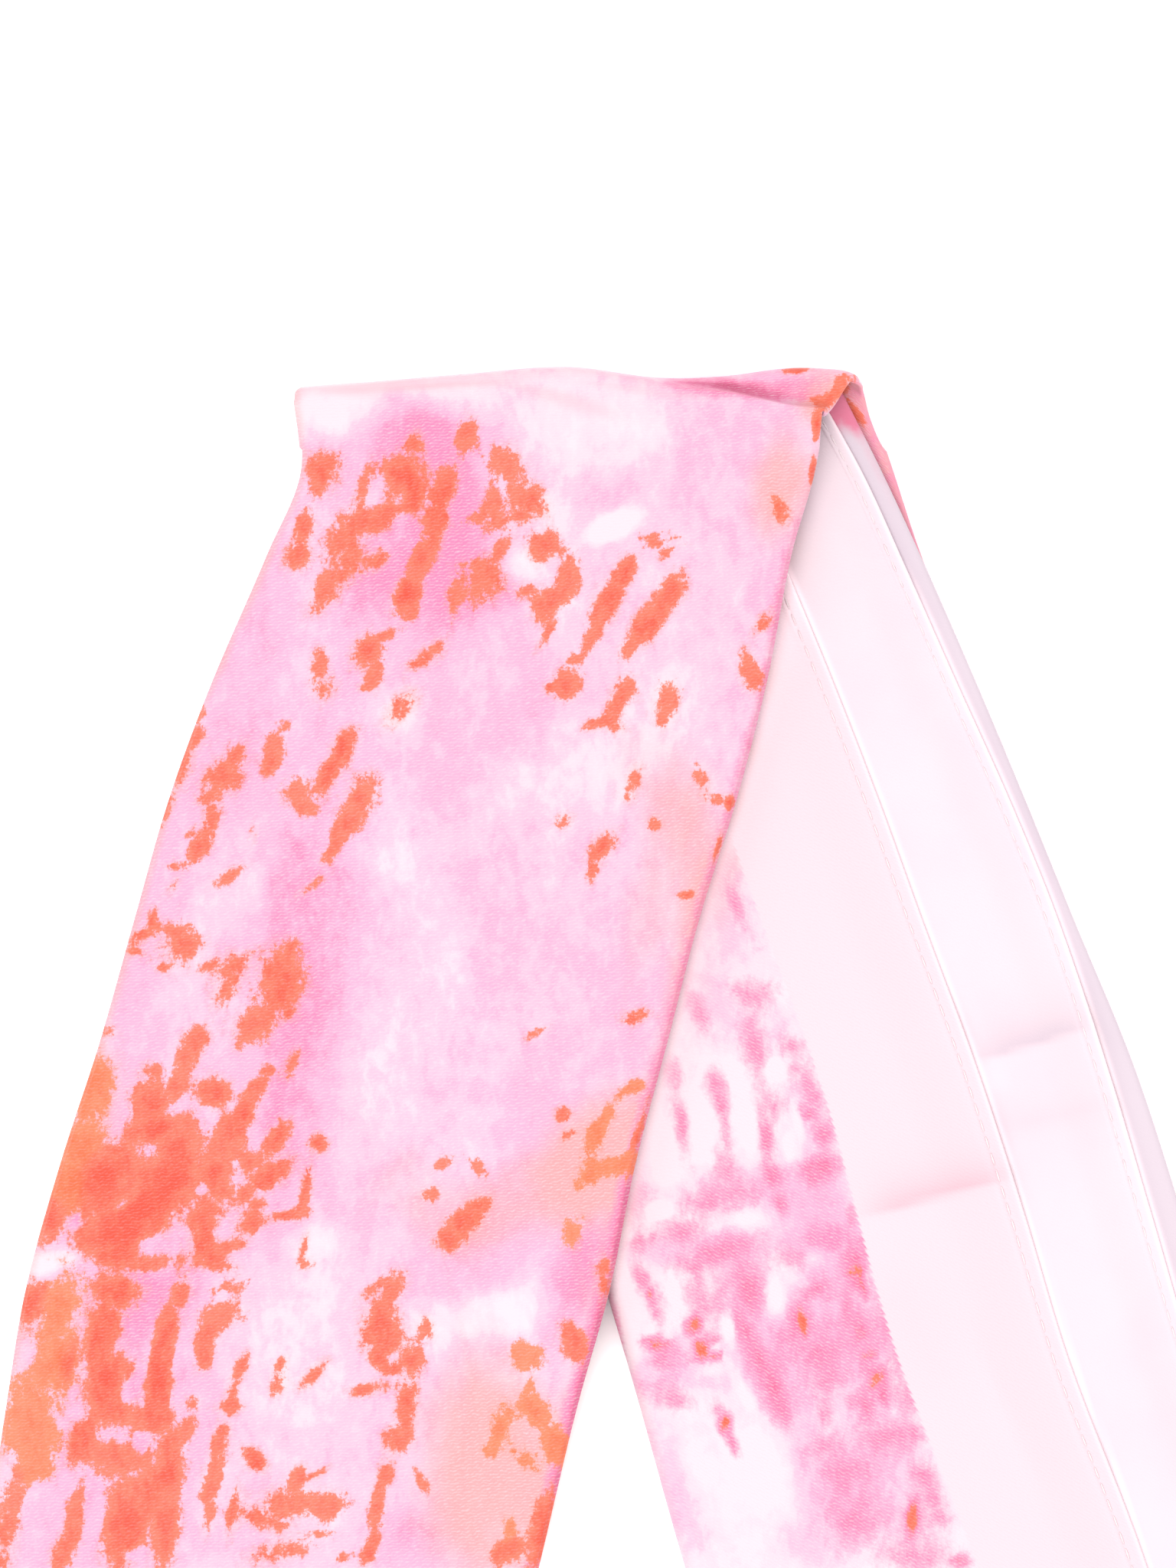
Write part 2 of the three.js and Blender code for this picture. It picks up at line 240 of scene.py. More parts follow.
def turn_section(x, around):
    """The turn's section: from the front lip, over the crease and the crest, round to the table. Towards
    the right the crease sharpens to a fold, with a terrace of the same layer behind and below it."""
    up, crease = read(CREST, "up", x), read(CREST, "crease", x)
    sharp = smooth(x, TROUGH_FROM, TROUGH_FULL)
    top, middle, level = CROWN_Z, CROWN_Z / 2, np.ones_like(x)
    knots = np.array([
        (-LIP * level, top * level),
        ((crease - LIP) / 2, top + 0.1 * level),
        (crease - blend(0.9, 0.6, sharp), top + 0.05 * sharp),
        (crease - blend(0, 0.05, sharp), top - blend(0.05, 0.3, sharp)),
        (blend(crease + 0.15 * sharp, up, 0.4 * (1 - sharp)), top - blend(0.2, 1.6, sharp)),
        (blend(crease, up, blend(0.75, 0.25, sharp)), top - blend(0.7, 2.3, sharp)),
        (up - blend(0.12, 0.7, sharp), top - blend(1.9, 2.1, sharp)),
        (up, middle - 0.3 * level),
        (up - 1.1, 0.6 * level),
        (up - 4.2, 0 * level),
        (-LIP * level, 0 * level),
    ])
    last = len(knots) - 1
    i = np.minimum((around * last).astype(int), last - 1)
    t = around * last - i
    a, b, c, d = (
        np.take_along_axis(knots, np.clip(i + k, 0, last)[None, None], 0)[0] for k in (-1, 0, 1, 2)
    )
    start, end = (c - a) / 2, (d - b) / 2
    return (2 * b - 2 * c + start + end) * t**3 + (3 * c - 3 * b - 2 * start - end) * t**2 + start * t + b


def fold_round(flat_places, edge_places=11):
    """Places across a folded layer: round its left fold, over its flat and round its right fold. turn is
    the angle round a fold, a quarter turn on the flat, and share the place between the two folds."""
    bend = np.linspace(0, math.pi / 2, edge_places)
    flat = np.linspace(0, 1, flat_places + 2)[1:-1]
    turn = np.concatenate([bend, np.full(flat_places, math.pi / 2), bend[::-1]])
    share = np.concatenate([np.zeros(edge_places), flat, np.ones(edge_places)])
    return turn[None, :], share[None, :]


def fold_inset(turn, radius, layers=1, groove=0):
    """How far in from a fold's edge each angle round it lies, with soft grooves between the layers."""
    return radius * (1 - np.cos(turn)) + groove * (1 - np.abs(np.cos(layers * turn))) * np.cos(turn)


def rows_down(start, end, end_round, seen_step=0.9, hidden_step=2.6):
    """Rows down a fall, close where they show, and round its free end. Gives the distance down and the
    angle round the end, a quarter turn everywhere else."""
    split = min(SEEN_TO, end)
    seen = np.linspace(start, split, int((split - start) / seen_step) + 1)
    hidden = np.linspace(split, end - HEM - 1, int((end - split) / hidden_step) + 2)[1:]
    hem = end - HEM - np.array([0.5, 0.2, -0.1, -0.5, -1.1])
    bend = np.linspace(math.pi / 2, 0, 7)
    down = np.concatenate([seen, hidden, hem, end - end_round * (1 - np.cos(bend))])
    turn = np.concatenate([np.full(len(down) - len(bend), math.pi / 2), bend])
    return down[:, None], turn[:, None]


def end_hem(down, end):
    """How much the hem across a fall's free end raises its face."""
    return HEM_SWELL * smooth(down, end - HEM - 0.35, end - HEM + 0.1)


def closed_cloth(name, outer, inner, looks):
    """A closed shell between two grids of corners that meet all round. looks holds numbers for each
    corner of both grids, kept as attributes for the material."""
    rows, places = outer.shape[:2]
    shell = bmesh.new()
    for _ in (outer, inner):
        bmesh.ops.create_grid(shell, x_segments=places - 1, y_segments=rows - 1, size=1)
    shell.verts.ensure_lookup_table()
    shell.faces.ensure_lookup_table()
    bmesh.ops.reverse_faces(shell, faces=shell.faces[len(shell.faces) // 2:])
    spots = np.concatenate([outer.reshape(-1, 3), inner.reshape(-1, 3)]) * MM + ORIGIN
    for corner, spot in zip(shell.verts, spots.tolist()):
        corner.co = spot
    for look, values in looks.items():
        values = np.concatenate([np.asarray(v, float).reshape(rows * places, -1) for v in values])
        if values.shape[1] == 3:
            layer = shell.verts.layers.float_vector.new(look)
        else:
            layer = shell.verts.layers.float.new(look)
            values = values[:, 0]
        for corner, value in zip(shell.verts, values.tolist()):
            corner[layer] = value
    bmesh.ops.remove_doubles(shell, verts=shell.verts, dist=1e-6)
    for edge in shell.edges:
        edge.smooth = edge.calc_face_angle(0) < SHARP
    data = bpy.data.meshes.new(name)
    shell.to_mesh(data)
    shell.free()
    data.shade_smooth()
    return put(name, data)


# Soft rises in the front fall, in the same form as the stains below: the last number is the height.
FRONT_RISES = [
    (-30, 40, 30, 9, 68, 0.25),
    (-8, 62, 34, 10, 70, 0.3),
    (-44, 96, 30, 9, 66, 0.25),
    (-20, 118, 26, 8, 72, 0.3),
    (-55, 140, 24, 9, 76, 0.25),
    (12, 36, 16, 6, 70, 0.2),
    (-60, 210, 30, 9, 72, 0.3),
]
# The soft valley below the crest: where it runs, and how deep it is.
CREST_FOLD = [(-35, 0.5, 0.12), (-20, 0.1, 0.3), (-11, -0.4, 0.3), (1, 1.8, 0.1)]
CREST_SHADE = [  # painted shade in the crest's soft folds
    (-24, .5, 8, .9, 3, .5), (-12, -.2, 7, .8, 4, .35), (-1, 2.4, 7, 1.1, -16, .4),
    (-30, 1.4, 5, .8, -8, .2), (10, 1.2, 8, .6, -8, .3),
]
# Stains of the tie-dye on the outermost layer: middle, half length and half width, the angle of the
# length from the right, and how strong the dye is.
CORAL_STAINS = [
    (-34, 12.2, 2.5, 1.9, 55, .7), (-34.2, 14.3, .9, .6, 80, .5), (-28.4, 14.8, 3, .75, 80, .6),
    (-28.3, 18.6, 2.6, 1.8, 20, .65), (-31.2, 21.2, 2.6, 1.5, 60, .5), (-30.6, 24.2, 2.4, 1.3, 60, .55),
    (-33, 27.2, 2.9, 1.2, 58, .5), (-24, 17, 3.2, .8, 10, .65), (-23.2, 12.6, 3, 2.4, 70, 1),
    (-21.3, 8.6, 1.1, .8, 80, .4), (-21.5, 14.8, 2.2, 1.5, 80, .8), (-17.6, 14.2, 3.2, 1.5, 70, .9),
    (-18.6, 18.6, 2.6, 1.4, 80, .9), (-20.2, 23.4, 3.2, 1.6, 66, 1.2), (-22.4, 28.6, 3, 1.8, 62, 1.2),
    (-21.9, 31, .9, .7, 60, .9), (-14.4, 7.3, 2.3, 1.4, 70, .9), (-9.6, 11, 2, 1.9, 0, .65),
    (-6.7, 15.8, 2.6, 2, -35, .8), (-7.5, 18, 1.5, .8, 0, .6), (-11.2, 16.5, 2.6, 1, 80, .6),
    (-12.8, 18.3, 1.5, 1, 20, .7), (-9.8, 19, 1.2, .8, -40, .55), (-4, 21.8, 2.1, 1.8, 10, .85),
    (-1.6, 22.6, 1, .7, -30, .6), (-36.3, 19.8, 2.4, 1.1, 75, .7), (-37, 23.2, 2, 1.4, 70, .8),
    (-26.6, 23.8, 1.7, 1.1, 35, .8), (-28, 24.7, .9, .4, 10, .6), (-12.3, 26.6, 2.6, 1.9, 60, .65),
    (-10, 22.6, 2.2, .8, 55, .55), (-15.8, 28.4, 2.2, .8, 80, .65), (-14, 24.6, 1.6, .5, 5, .5),
    (-.6, 25.8, 2.7, 1.2, 85, .7), (-3.6, 29.6, 2.3, 1.9, 60, .9), (-1.6, 28.6, 2.5, 1.3, 40, .8),
    (-6.2, 28.2, 1, .7, -30, .5), (-3.4, 33.4, 1.8, .5, 60, .5), (-27.6, 36.2, 2.2, 1.7, 80, .85),
    (-26.9, 39.3, 2, 1.1, 80, .85), (-25.5, 34, 1.6, .5, 20, .55), (-28, 41.1, .8, .5, 0, .6),
    (-19.5, 36.6, 1.8, .8, 40, .5), (-21.3, 37.9, .9, .4, 10, .45), (-34.4, 38.4, 1.9, .9, 80, .5),
    (-33.6, 41, 1.3, 1, 60, .5), (-23.2, 43.8, 1.8, .9, 50, .5), (-1, 40.6, 2, 1.7, 70, .95),
    (-3, 41, 1, .5, 20, .7), (.2, 37.2, .9, .8, 0, .7), (6.8, 25.4, 2.3, 1.3, 62, .8),
    (4.4, 29.6, 2.9, 1.6, 62, .9), (2.6, 34, 2.2, .8, 62, .7), (12.8, 28.2, 2.6, 1.5, 62, .8),
    (10, 32.4, 3.2, 1.6, 52, .95), (7.3, 35.8, 1.4, 1, 55, .85), (6.9, 41.2, 1.6, 1.1, 70, .6),
    (5.8, 43.5, 1.8, 1, 70, .6), (3.4, 45.8, 1.9, .7, 15, .7), (5.6, 46.2, 1, .7, -20, .5),
    (12.5, 42.6, 2.2, 1.3, 80, .65), (11.9, 45.2, .9, .6, 80, .6), (10.6, 21.3, 1.4, .5, -35, .5),
    (12.3, 22.9, .9, .5, 40, .5), (13.8, 20.9, 1.1, .4, -30, .4), (27.7, 17, 1.8, 1, -70, .8),
    (25.2, 32.4, 1.3, .7, 60, .55), (23.6, 38.8, 2.4, 1.2, -70, .85), (32.1, 11.6, 2, .45, 85, .8),
    (32.6, 5.5, 2.2, .6, 85, .9), (34.8, 1.6, 3.2, .8, 42, .75), (36, -.2, 1.2, .9, 60, .9),
    (32.6, 2.4, 1, .5, -40, .6), (30, -1.9, 1.6, .5, 5, .9), (38.2, 4, 1.8, .6, -60, .7),
    (-51.3, 47.6, 1.8, 1, 75, .65), (-50.4, 44.6, .9, .4, 75, .5), (-53.2, 51.6, 2, 1, 75, .5),
    (-55.2, 57, 2, .7, 75, .7), (-47.2, 52.6, 2.8, 1.6, 60, .55), (-45.6, 49.8, 1.3, .7, 60, .6),
    (-49.3, 55.6, 1.2, .8, 40, .6), (-49.2, 59.3, 2, .9, 80, .65), (-50.4, 62.2, 2.4, 1.1, 55, .75),
    (-51.8, 60.7, .6, .6, 0, .5), (-40.3, 48.8, 1.8, 1.4, 70, .7), (-39, 46.2, .9, .8, 0, .6),
    (-40.9, 51.2, 1.4, 1, 70, .7), (-31, 49, 2.4, 1.3, 65, .8), (-33.2, 52.6, 2.4, 1.1, 55, .7),
    (-37.3, 54.8, 1.9, 1.5, 20, .7), (-36.4, 57, 1.4, 1, -30, .6), (-34.4, 54.6, 1, .5, -40, .5),
    (-28.8, 56, 3.2, 1.9, 65, .85), (-30.6, 59.4, 2.6, 1.6, 55, .95), (-33.4, 63.9, 1.2, .9, 30, .85),
    (-31.9, 61.9, 1.4, .7, 50, .8), (-46.8, 66.6, 1.8, .6, 30, .45), (-53.8, 65.1, .9, .4, 0, .4),
    (-54.3, 67.9, .9, .4, 60, .4), (-43.4, 60.8, 1.1, .35, 80, .4), (-35.4, 67.7, 1.4, .4, 35, .4),
    (-56.9, 72.2, 1.4, .5, 80, .5), (-58.4, 74.4, 1.4, .6, 20, .55), (-59.6, 76.5, .8, .6, 0, .6),
    (-53, 75.8, 2.2, 2, 0, .55), (-55.3, 78.7, .9, .5, 0, .5), (-53.5, 73.6, 1.6, .5, 0, .45),
    (-49.6, 78.6, 1.3, .6, 10, .5), (-46, 78.4, 2, .9, 30, .45), (-47, 81.8, 1.8, 1.1, 60, .55),
    (-39.4, 80.6, 3.6, 2.8, 80, .85), (-38.2, 76, 1.4, .9, 70, .7), (-42.9, 86.2, 2.9, 2.2, 45, .8),
    (-38.8, 85.2, 1.6, .4, 35, .5), (-51.3, 88.6, 1.9, 1.2, 30, .7), (-62.9, 87.4, .9, .6, 0, .5),
    (7.9, 53.7, 1.6, .7, 65, .6), (7.2, 55.6, .8, .6, 0, .45), (17.3, 53.3, 1.9, .8, -60, .7),
    (18.8, 55.9, 1.5, .6, -10, .7), (20.8, 56.4, .9, .6, 80, .8), (-1.3, 59.1, .9, .8, 0, .5),
    (10.7, 59.4, .8, .8, 0, .6), (3.8, 62.4, 2.1, 1.1, 60, .65), (2.4, 65.9, 1, .5, 70, .4),
    (19.4, 62.3, 1.6, .4, 75, .8), (15, 68.9, 1, .6, 20, .7), (8.4, 85.2, 1.5, .8, 10, .6),
    (-4.9, 87.2, 1.3, .5, 30, .5), (-70.8, 113, 3.2, 1.6, 70, .9), (-57.5, 97, 3, 2, 80, .75),
    (-56.8, 92.8, 1, .9, 0, .6), (-56.5, 100.5, 3.5, 1.5, 5, .9), (-53.5, 103, 3.2, 2, 80, 1),
    (-54.5, 108, 5, 2.8, 60, 1), (-61, 114.5, 5.5, 2.6, 15, 1.1), (-59, 112, 4.5, 2.6, 50, 1.05),
    (-63.5, 107, 4, 3.5, 60, .75), (-62, 117.5, 3, 1.2, 10, .8), (-52, 90.5, 3.2, 1.1, 65, .7),
    (-53.8, 94.6, 2, 1.2, 60, .75), (-48.6, 95.7, 2, 1.9, 0, .85), (-44.6, 98.4, 2.6, 1.4, 65, .9),
    (-42.8, 95, 1.6, 1.1, 70, .75), (-41.3, 92.4, .9, .8, 0, .65), (-46.6, 102.4, 3.8, 2, 70, 1.05),
    (-48.6, 106.4, 2.8, 2.2, 60, 1), (-47.3, 109.2, 1.6, .9, 20, .7), (-38, 91.6, 1.7, .7, 75, .65),
    (-40.2, 102, 2.8, 1.1, 55, .8), (-43.2, 104.8, 2.2, .9, 45, .6), (-41.2, 106.8, 3, 1.4, 30, .75),
    (-44.5, 109.5, 1.6, .9, 30, .6), (-36.3, 109, 2.4, .8, 80, .8), (-38.3, 112, 2.6, .7, 10, .75),
    (-42.8, 110.8, 1.2, .9, 0, .7), (-43.8, 113.4, 1.6, 1.3, 40, .85), (-49.8, 112.6, 2.4, 1.8, 60, 1),
    (-50, 115.8, 1.8, 1.5, 90, .85), (-46.8, 116.5, 1.8, .7, 20, .5), (-36.5, 116.8, 1.6, .4, 75, .5),
    (-36.2, 118.8, .9, .6, 0, .6), (-34.5, 102.4, 1.1, 1, 0, .7), (-57.8, 118.8, 3.6, .9, 5, .55),
    (-61.5, 122.2, 2.6, 1.8, -20, .75), (-48.5, 118.6, 2.8, 1, -20, .6), (-73, 124, 3.2, 2, 80, .9),
    (-68.5, 132, 3.5, 1.3, 80, .7), (-76, 152, 6, 1.3, 80, .6), (-61.5, 123.2, 1.8, 1.2, -30, .8),
    (-63.5, 128, 3, 2, 80, .6), (-63, 134.5, 3.6, 2.8, 70, .95), (-62, 138.5, 2.5, 2, 0, .8),
    (-55.2, 129, 3.8, 1.4, 80, .95), (-56, 134, 5.5, 1.5, 85, 1), (-57.5, 139.6, 3.4, 1.6, 10, .9),
    (-53.2, 122.8, 2.2, 1.1, 70, .8), (-66.5, 143, 3, 1.7, 80, .85), (-62, 145, 3, 2, 0, .5),
    (-52.6, 141.5, 2.2, 1, 65, .85), (-54.4, 146.6, 4.5, 1.7, 80, 1.05), (-55, 154, 5.5, 1.7, 85, 1),
    (-60.5, 153.5, 5.5, 2.6, 75, 1), (-58, 150, 3, 2, 0, .7), (-67.5, 153.5, 4.5, 1.2, 80, .85),
    (-69, 158, 2, 1.2, 70, .85), (-47.6, 125.6, 2.8, 1.6, 15, .85), (-49.4, 128.6, 3.4, 1.3, 70, .85),
    (-49.6, 131.6, 1.2, .7, 80, .7), (-45.2, 122, 1.2, .5, 70, .5), (-47.4, 121.9, 1.4, .5, 20, .45),
    (-45.2, 133, 1.8, .7, 60, .6), (-46.1, 136, 2, .6, 80, .6), (-46.4, 138, 1.4, .8, 10, .7),
    (-39.6, 132.4, 1, .6, 60, .6), (-39.9, 135, 1.3, .8, 70, .65), (-35.2, 133.8, 1.9, .7, 45, .7),
    (-51.5, 137.4, 1, .8, 0, .7), (-47.8, 142.6, 2.2, .9, 70, .75), (-48.8, 147.6, 3.5, 1.3, 75, .9),
    (-49.3, 152.6, 2, .7, 80, .7), (-43.2, 145.2, 1.9, 1.1, -40, .8), (-46, 152, 2.6, .6, 80, .65),
    (-37.4, 147.6, 1.6, .9, 70, .85), (-34.8, 147.2, 1.2, .3, 30, .5), (-37, 151.2, 4.2, 1.4, 0, .6),
    (-33.2, 151.6, 2, 1.6, 60, .85), (-42, 153.3, 2.6, .9, -20, .45), (-39.5, 157.6, 3, .9, 15, .45),
    (-34.3, 155.2, 1.4, .4, 5, .5), (-31.4, 158.4, .8, .6, 0, .6), (-24.3, 121.6, 1.8, 1.1, 60, .7),
    (-25.2, 123.8, 1.4, .9, 70, .65), (-27, 122, 1.6, .5, 40, .4), (-26.2, 127, 2.8, 2.2, 80, .85),
    (-25.6, 129, 2.6, 1.6, 0, 1), (-26.6, 131.6, 1.6, 1, -60, .85), (-22, 131.6, 2, 1.5, 80, .8),
    (-24.4, 133, 1.5, .6, 0, .7), (-19.8, 127.6, 1.2, .7, -60, .5), (-22.6, 138, 3.8, 1.3, 85, .8),
    (-23.8, 142.4, 2, 1.5, 60, .9), (-27.8, 135.6, 1.8, .6, 10, .45), (-25.5, 147.4, 1.6, .9, 75, .7),
    (-26.7, 151.8, 2.8, .9, 85, .75), (-27.6, 157.4, 2.6, .9, 70, .75), (-20.6, 148, 1.4, .6, -60, .5),
    (-.2, 129.3, 2.6, 1.6, -70, .95), (-4.4, 154.5, 4.6, 1.6, 78, 1), (-8.6, 157.4, 2.6, 1.6, 20, .9),
    (-1.4, 98.4, 1, .9, 0, .8), (-.6, 101, 1, .6, 30, .6), (-15.3, 113.4, 3.6, 1.6, 50, .95),
    (-13, 111, 1.6, .9, 30, .85), (-17, 115.6, 1.6, 1.1, 10, .85), (-13, 105.4, 1.4, .7, -60, .55),
    (-17.6, 105, 1.2, .6, 25, .55), (-19.4, 109.2, 1.1, .8, 0, .65), (4, 118.8, 1, .9, 0, .6),
    (4.5, 121.6, 2.2, .5, -75, .3), (8.6, 101, 3, .4, 72, .4),
]
CORAL_WASH = [  # where the stains run together
    (-56, 105, 11, 6, 50, .42), (-62, 112, 8, 5, 30, .3), (-64, 133, 13, 2.2, 88, .3),
    (-56, 140, 17, 2.2, 89, .35), (-60.5, 152, 8, 3, 88, .3), (-68, 104, 9, 4, 75, .25),
]
GOLD_STAINS = [
    (-65.2, 95, 4.5, 2.6, 75, .8), (-66.5, 103, 4, 3, 75, .75), (-68, 108, 4, 3.5, 75, .8),
    (-69.5, 125, 5, 2.6, 80, .65), (-70, 132, 4.5, 2.6, 80, .75), (-73.5, 139, 5, 3.5, 80, .7),
    (-72.5, 144, 4.6, 2.6, 80, 1), (-6.3, 131.2, 2, 1.9, 80, .8), (-6, 135, 1.2, .7, 80, .7),
    (-5, 138.6, 3.2, 1.6, -50, .85), (-2.6, 143, 2.8, 1.8, -70, 1), (-9.9, 140.6, 2, 1.2, 70, .5),
    (-11.5, 143.9, 1, .8, 0, .45), (-6.6, 145.2, 1.7, 1, -30, .6), (-8.8, 154.6, 1.6, .8, 90, .7),
    (3, 101.2, 2.2, 1.1, 60, .65), (4.2, 98.8, 1.6, .6, 65, .6), (8, 94.6, 1.5, .8, 10, .8),
    (6.3, 96, 1, .5, 50, .5), (5.4, 105.2, 3.2, 1.1, 15, .65), (7.4, 105, 1.6, 1.4, 70, .7),
    (1.6, 106.8, 2, 1.1, 50, .75), (-.2, 114, 1.8, 1, 70, .55),
]
BARE_SPOTS = [  # where the dye left the cloth bare inside the stains
    (-61.5, 99, 2.5, .8, 90, .8), (-67.5, 113, 1, 1, 0, .8), (-60.8, 110.5, 1.5, .6, 50, .8),
    (-50, 108.5, 1, .8, 90, .8), (-50, 98.3, .6, .6, 0, .6), (-39.5, 110.5, 1.6, 1.2, 0, .9),
    (-57, 116, 2.5, 1, 0, .6), (-71.5, 119.5, 2.5, 1.1, 0, .8), (-59.7, 135.5, 3, .9, 60, .9),
    (-52.8, 132, 2.2, 1.3, 90, .9), (-67.5, 136.5, 1.5, .5, 90, .7), (-73, 131.5, 1.2, .5, 90, .6),
    (-58.5, 143, 2, 1, 90, .7), (-65, 152, 5, 1, 88, 1), (-72, 152, 4, 2.6, 85, 1.1),
    (-59, 158, 2, 1, 0, .8),
]
PINK_CLOUDS = [  # paler and stronger clouds of pink: as the stains, with how much pink each adds
    (-33, 3, 7, 4, 10, -.48), (-18, -1, 15, 2.8, 0, -.3), (-15, 2.6, 6.5, 2.6, -8, -.3),
    (-15, 76, 9, 5, 0, .04), (1, 6, 10, 7.4, -35, -.34), (10, 4, 6, 5, 0, -.2),
    (5.2, 19.3, 3.8, 1.7, 25, -.9), (-6.6, 24.6, 3, 2.4, 20, -.45), (-3, 17.6, 3.4, 2, -60, -.3),
    (-20, 8.5, 9, 5.4, 10, .5), (-17, 21, 10, 6, 80, .42), (-26, 24, 8, 6, 70, .25),
    (-12, 28, 6, 4.5, 40, .25), (20, 8, 9, 5, -20, .04), (-46, 42, 26, 5, 72, .16),
    (-57, 78, 14, 5, 74, .14), (5, 14, 4, 2.5, 0, .15), (-34, 12, 5, 4, 0, .2), (15, 34, 11, 8, 60, -.1),
    (-24, 44.5, 4.4, 3.6, 60, -.35), (-42, 50, 9, 6, 70, .22), (0, 53, 9, 6, 20, -.26),
    (-10, 46, 10, 6, 30, .12), (10, 47, 8, 5, 60, -.18), (-29, 40, 5, 3, 0, .15),
    (-36.5, 82, 30, 7, 82, .42), (-20, 84, 20, 6, 84, -.12), (-24, 64, 5, 3, 80, -.16),
    (-2, 90, 11, 8, 70, .08), (-54, 76, 10, 6, 75, -.06), (-55, 81, 4, 2.6, 60, -.1),
    (-12, 125.6, 11.5, 3.2, 8, -.4), (-37, 134, 16, 8, 88, -.2), (-35, 116, 5, 2.8, 10, -.3),
    (-71.5, 118.6, 5, 1.5, 12, -.6), (-60, 108, 15, 12, 60, .3), (-62, 142, 22, 12, 85, .3),
    (-22, 156, 6, 5, 0, .25), (1, 120, 10, 4, 66, .5), (14, 80, 16, 4, 72, .08), (-8, 72, 10, 7, 60, .02),
    (-8, 112, 15, 7, 30, .28), (-58, 124, 10, 5, 20, .3), (-30, 100, 9, 6, 70, -.1),
    (-21, 26, 13, 11, 0, .14), (-23, 33, 9, 5, 0, .1), (-13, 16, 5, 4, 60, .15),
]
PEACH_CLOUDS = [
    (28, 14, 8, 4.6, 75, .7), (34, 2, 4, 4, 0, .9), (12, 52, 9, 7, 60, .3), (14, 66, 14, 6.5, 72, .48),
    (2, 121, 8, 4, 66, .15), (3.5, 104, 10, 7, 70, .8), (-9, 111, 14, 7, 20, .5), (-22, 108, 6, 6, 0, .25),
    (-11.5, 146, 17, 10, 88, .85), (-68, 128, 10, 5, 80, .4), (-66, 100, 10, 5, 66, .5),
]
BORDER = 21.3
NO_ROSE = 0.9  # how far below 0 the rose look has to lie for none to show
FRONT_MIRROR, FRONT_SLANT = SEEN_TO - 10, 0.33


def run_of(x, down, across, at, angle):
    """How far each spot lies along a line from its middle, and off it. The angle is from the right."""
    a = math.radians(angle)
    dx, dy = x - across, at - down
    return dx * math.cos(a) + dy * math.sin(a), dy * math.cos(a) - dx * math.sin(a)


def off_middle(row, x, down):
    """How far each spot lies from the middle of an oval, where its rim is at 1."""
    across, at, long, wide, angle = row[:5]
    along, off = run_of(x, down, across, at, angle)
    return np.sqrt((along / long) ** 2 + (off / wide) ** 2)


def stains(rows, x, down, crisp=7):
    """How deep each spot lies in the stains: 0 at a stain's rim, more inside, less outside."""
    total = sum(np.exp(crisp * row[5] * (1 - off_middle(row, x, down))) for row in rows)
    return np.log(total + 1e-4) / crisp


def patches(rows, x, down, power=3):
    """Soft patches, each as strong as its row's last number in the middle. The higher the power, the
    more level the middle and the steeper the rim."""
    return sum(row[5] * np.exp(-off_middle(row, x, down) ** power) for row in rows)


def mirrored(x, down, at, slant):
    """Past a line the pattern runs back along the fall, as on cloth that was dyed in folds."""
    back = np.where(down > at, 2 * at - down, down)
    return x + (down - back) * slant, back


def front_print(x, down):
    """The dye at a place on the outermost layer."""
    x, down = mirrored(x, down, FRONT_MIRROR, FRONT_SLANT)
    bare = np.maximum(stains(BARE_SPOTS, x, down) + 0.1, 0) * 1.5
    coral = stains(CORAL_STAINS, x, down) + patches(CORAL_WASH, x, down) - bare
    gold = stains(GOLD_STAINS, x, down) - bare
    return {
        "stain": np.maximum(coral, gold),
        "gold": smooth(gold - coral, -0.25, 0.25),
        "pink": 0.43 + patches(PINK_CLOUDS, x, down),
        "peach": patches(PEACH_CLOUDS, x, down),
    }


def slab(x, y, base, thick, rise):
    """Outer and inner corners of a layer whose folds and ends close at mid height."""
    half = thick / 2
    level = base + half
    return np.stack([x, y, level + half * rise], -1), np.stack([x, y, level - half * rise], -1)


# First stretch of the outermost layer: the front fall.
FRONT_PLACES = 80
turn_angle, share = fold_round(FRONT_PLACES)
down, end_angle = rows_down(LIP, END, STACK / 2)
down, end_angle = down[::-1], end_angle[::-1]
front_inset = fold_inset(turn_angle, STACK / 2, LAYERS, GROOVE * smooth(down, LIP, LIP + 12))
front_x, front_y = station(FRONT_FALL, "right", down, share, front_inset)
front_rise = np.sin(turn_angle) * np.sin(end_angle)
front_outer, front_inner = slab(front_x, front_y, bed(front_x, front_y), STACK, front_rise)
front_outer[..., 2] += (end_hem(down, END) + patches(FRONT_RISES, front_x, -front_y, 2)) * front_rise

# Second stretch: the turn. The section is its outer face, and its thickness goes square to that.
TURN_ROWS = 90
NUDGE = 1e-4
around = np.linspace(0, 1, TURN_ROWS + 1)[1:, None]
turn_thick = blend(STACK, OUTERMOST, smooth(around, 0, 0.17))
turn_left, turn_right = read(TURN, "left", around), read(TURN, "right", around)
turn_width = turn_right - turn_left
turn_inset = fold_inset(turn_angle, turn_thick / 2) / turn_width
turn_x = turn_left + turn_width * blend(turn_inset, 1 - turn_inset, share)
around_all = np.broadcast_to(around, turn_x.shape)
turn_y, turn_z = turn_section(turn_x, around_all)
ahead_y, ahead_z = turn_section(turn_x, np.minimum(around_all + NUDGE, 1))
behind_y, behind_z = turn_section(turn_x, around_all - NUDGE)
along_y, along_z = ahead_y - behind_y, ahead_z - behind_z
along = np.hypot(along_y, along_z)
along_y, along_z = along_y / along, along_z / along
past_lip = smooth(around, 0, 0.3)
drop = (FRONT_Z - bed(turn_x, np.full_like(turn_x, -LIP))) * (1 - past_lip)
valley_x, valley_down, valley_depth = zip(*CREST_FOLD)
valley = np.interp(turn_x, valley_x, valley_depth)
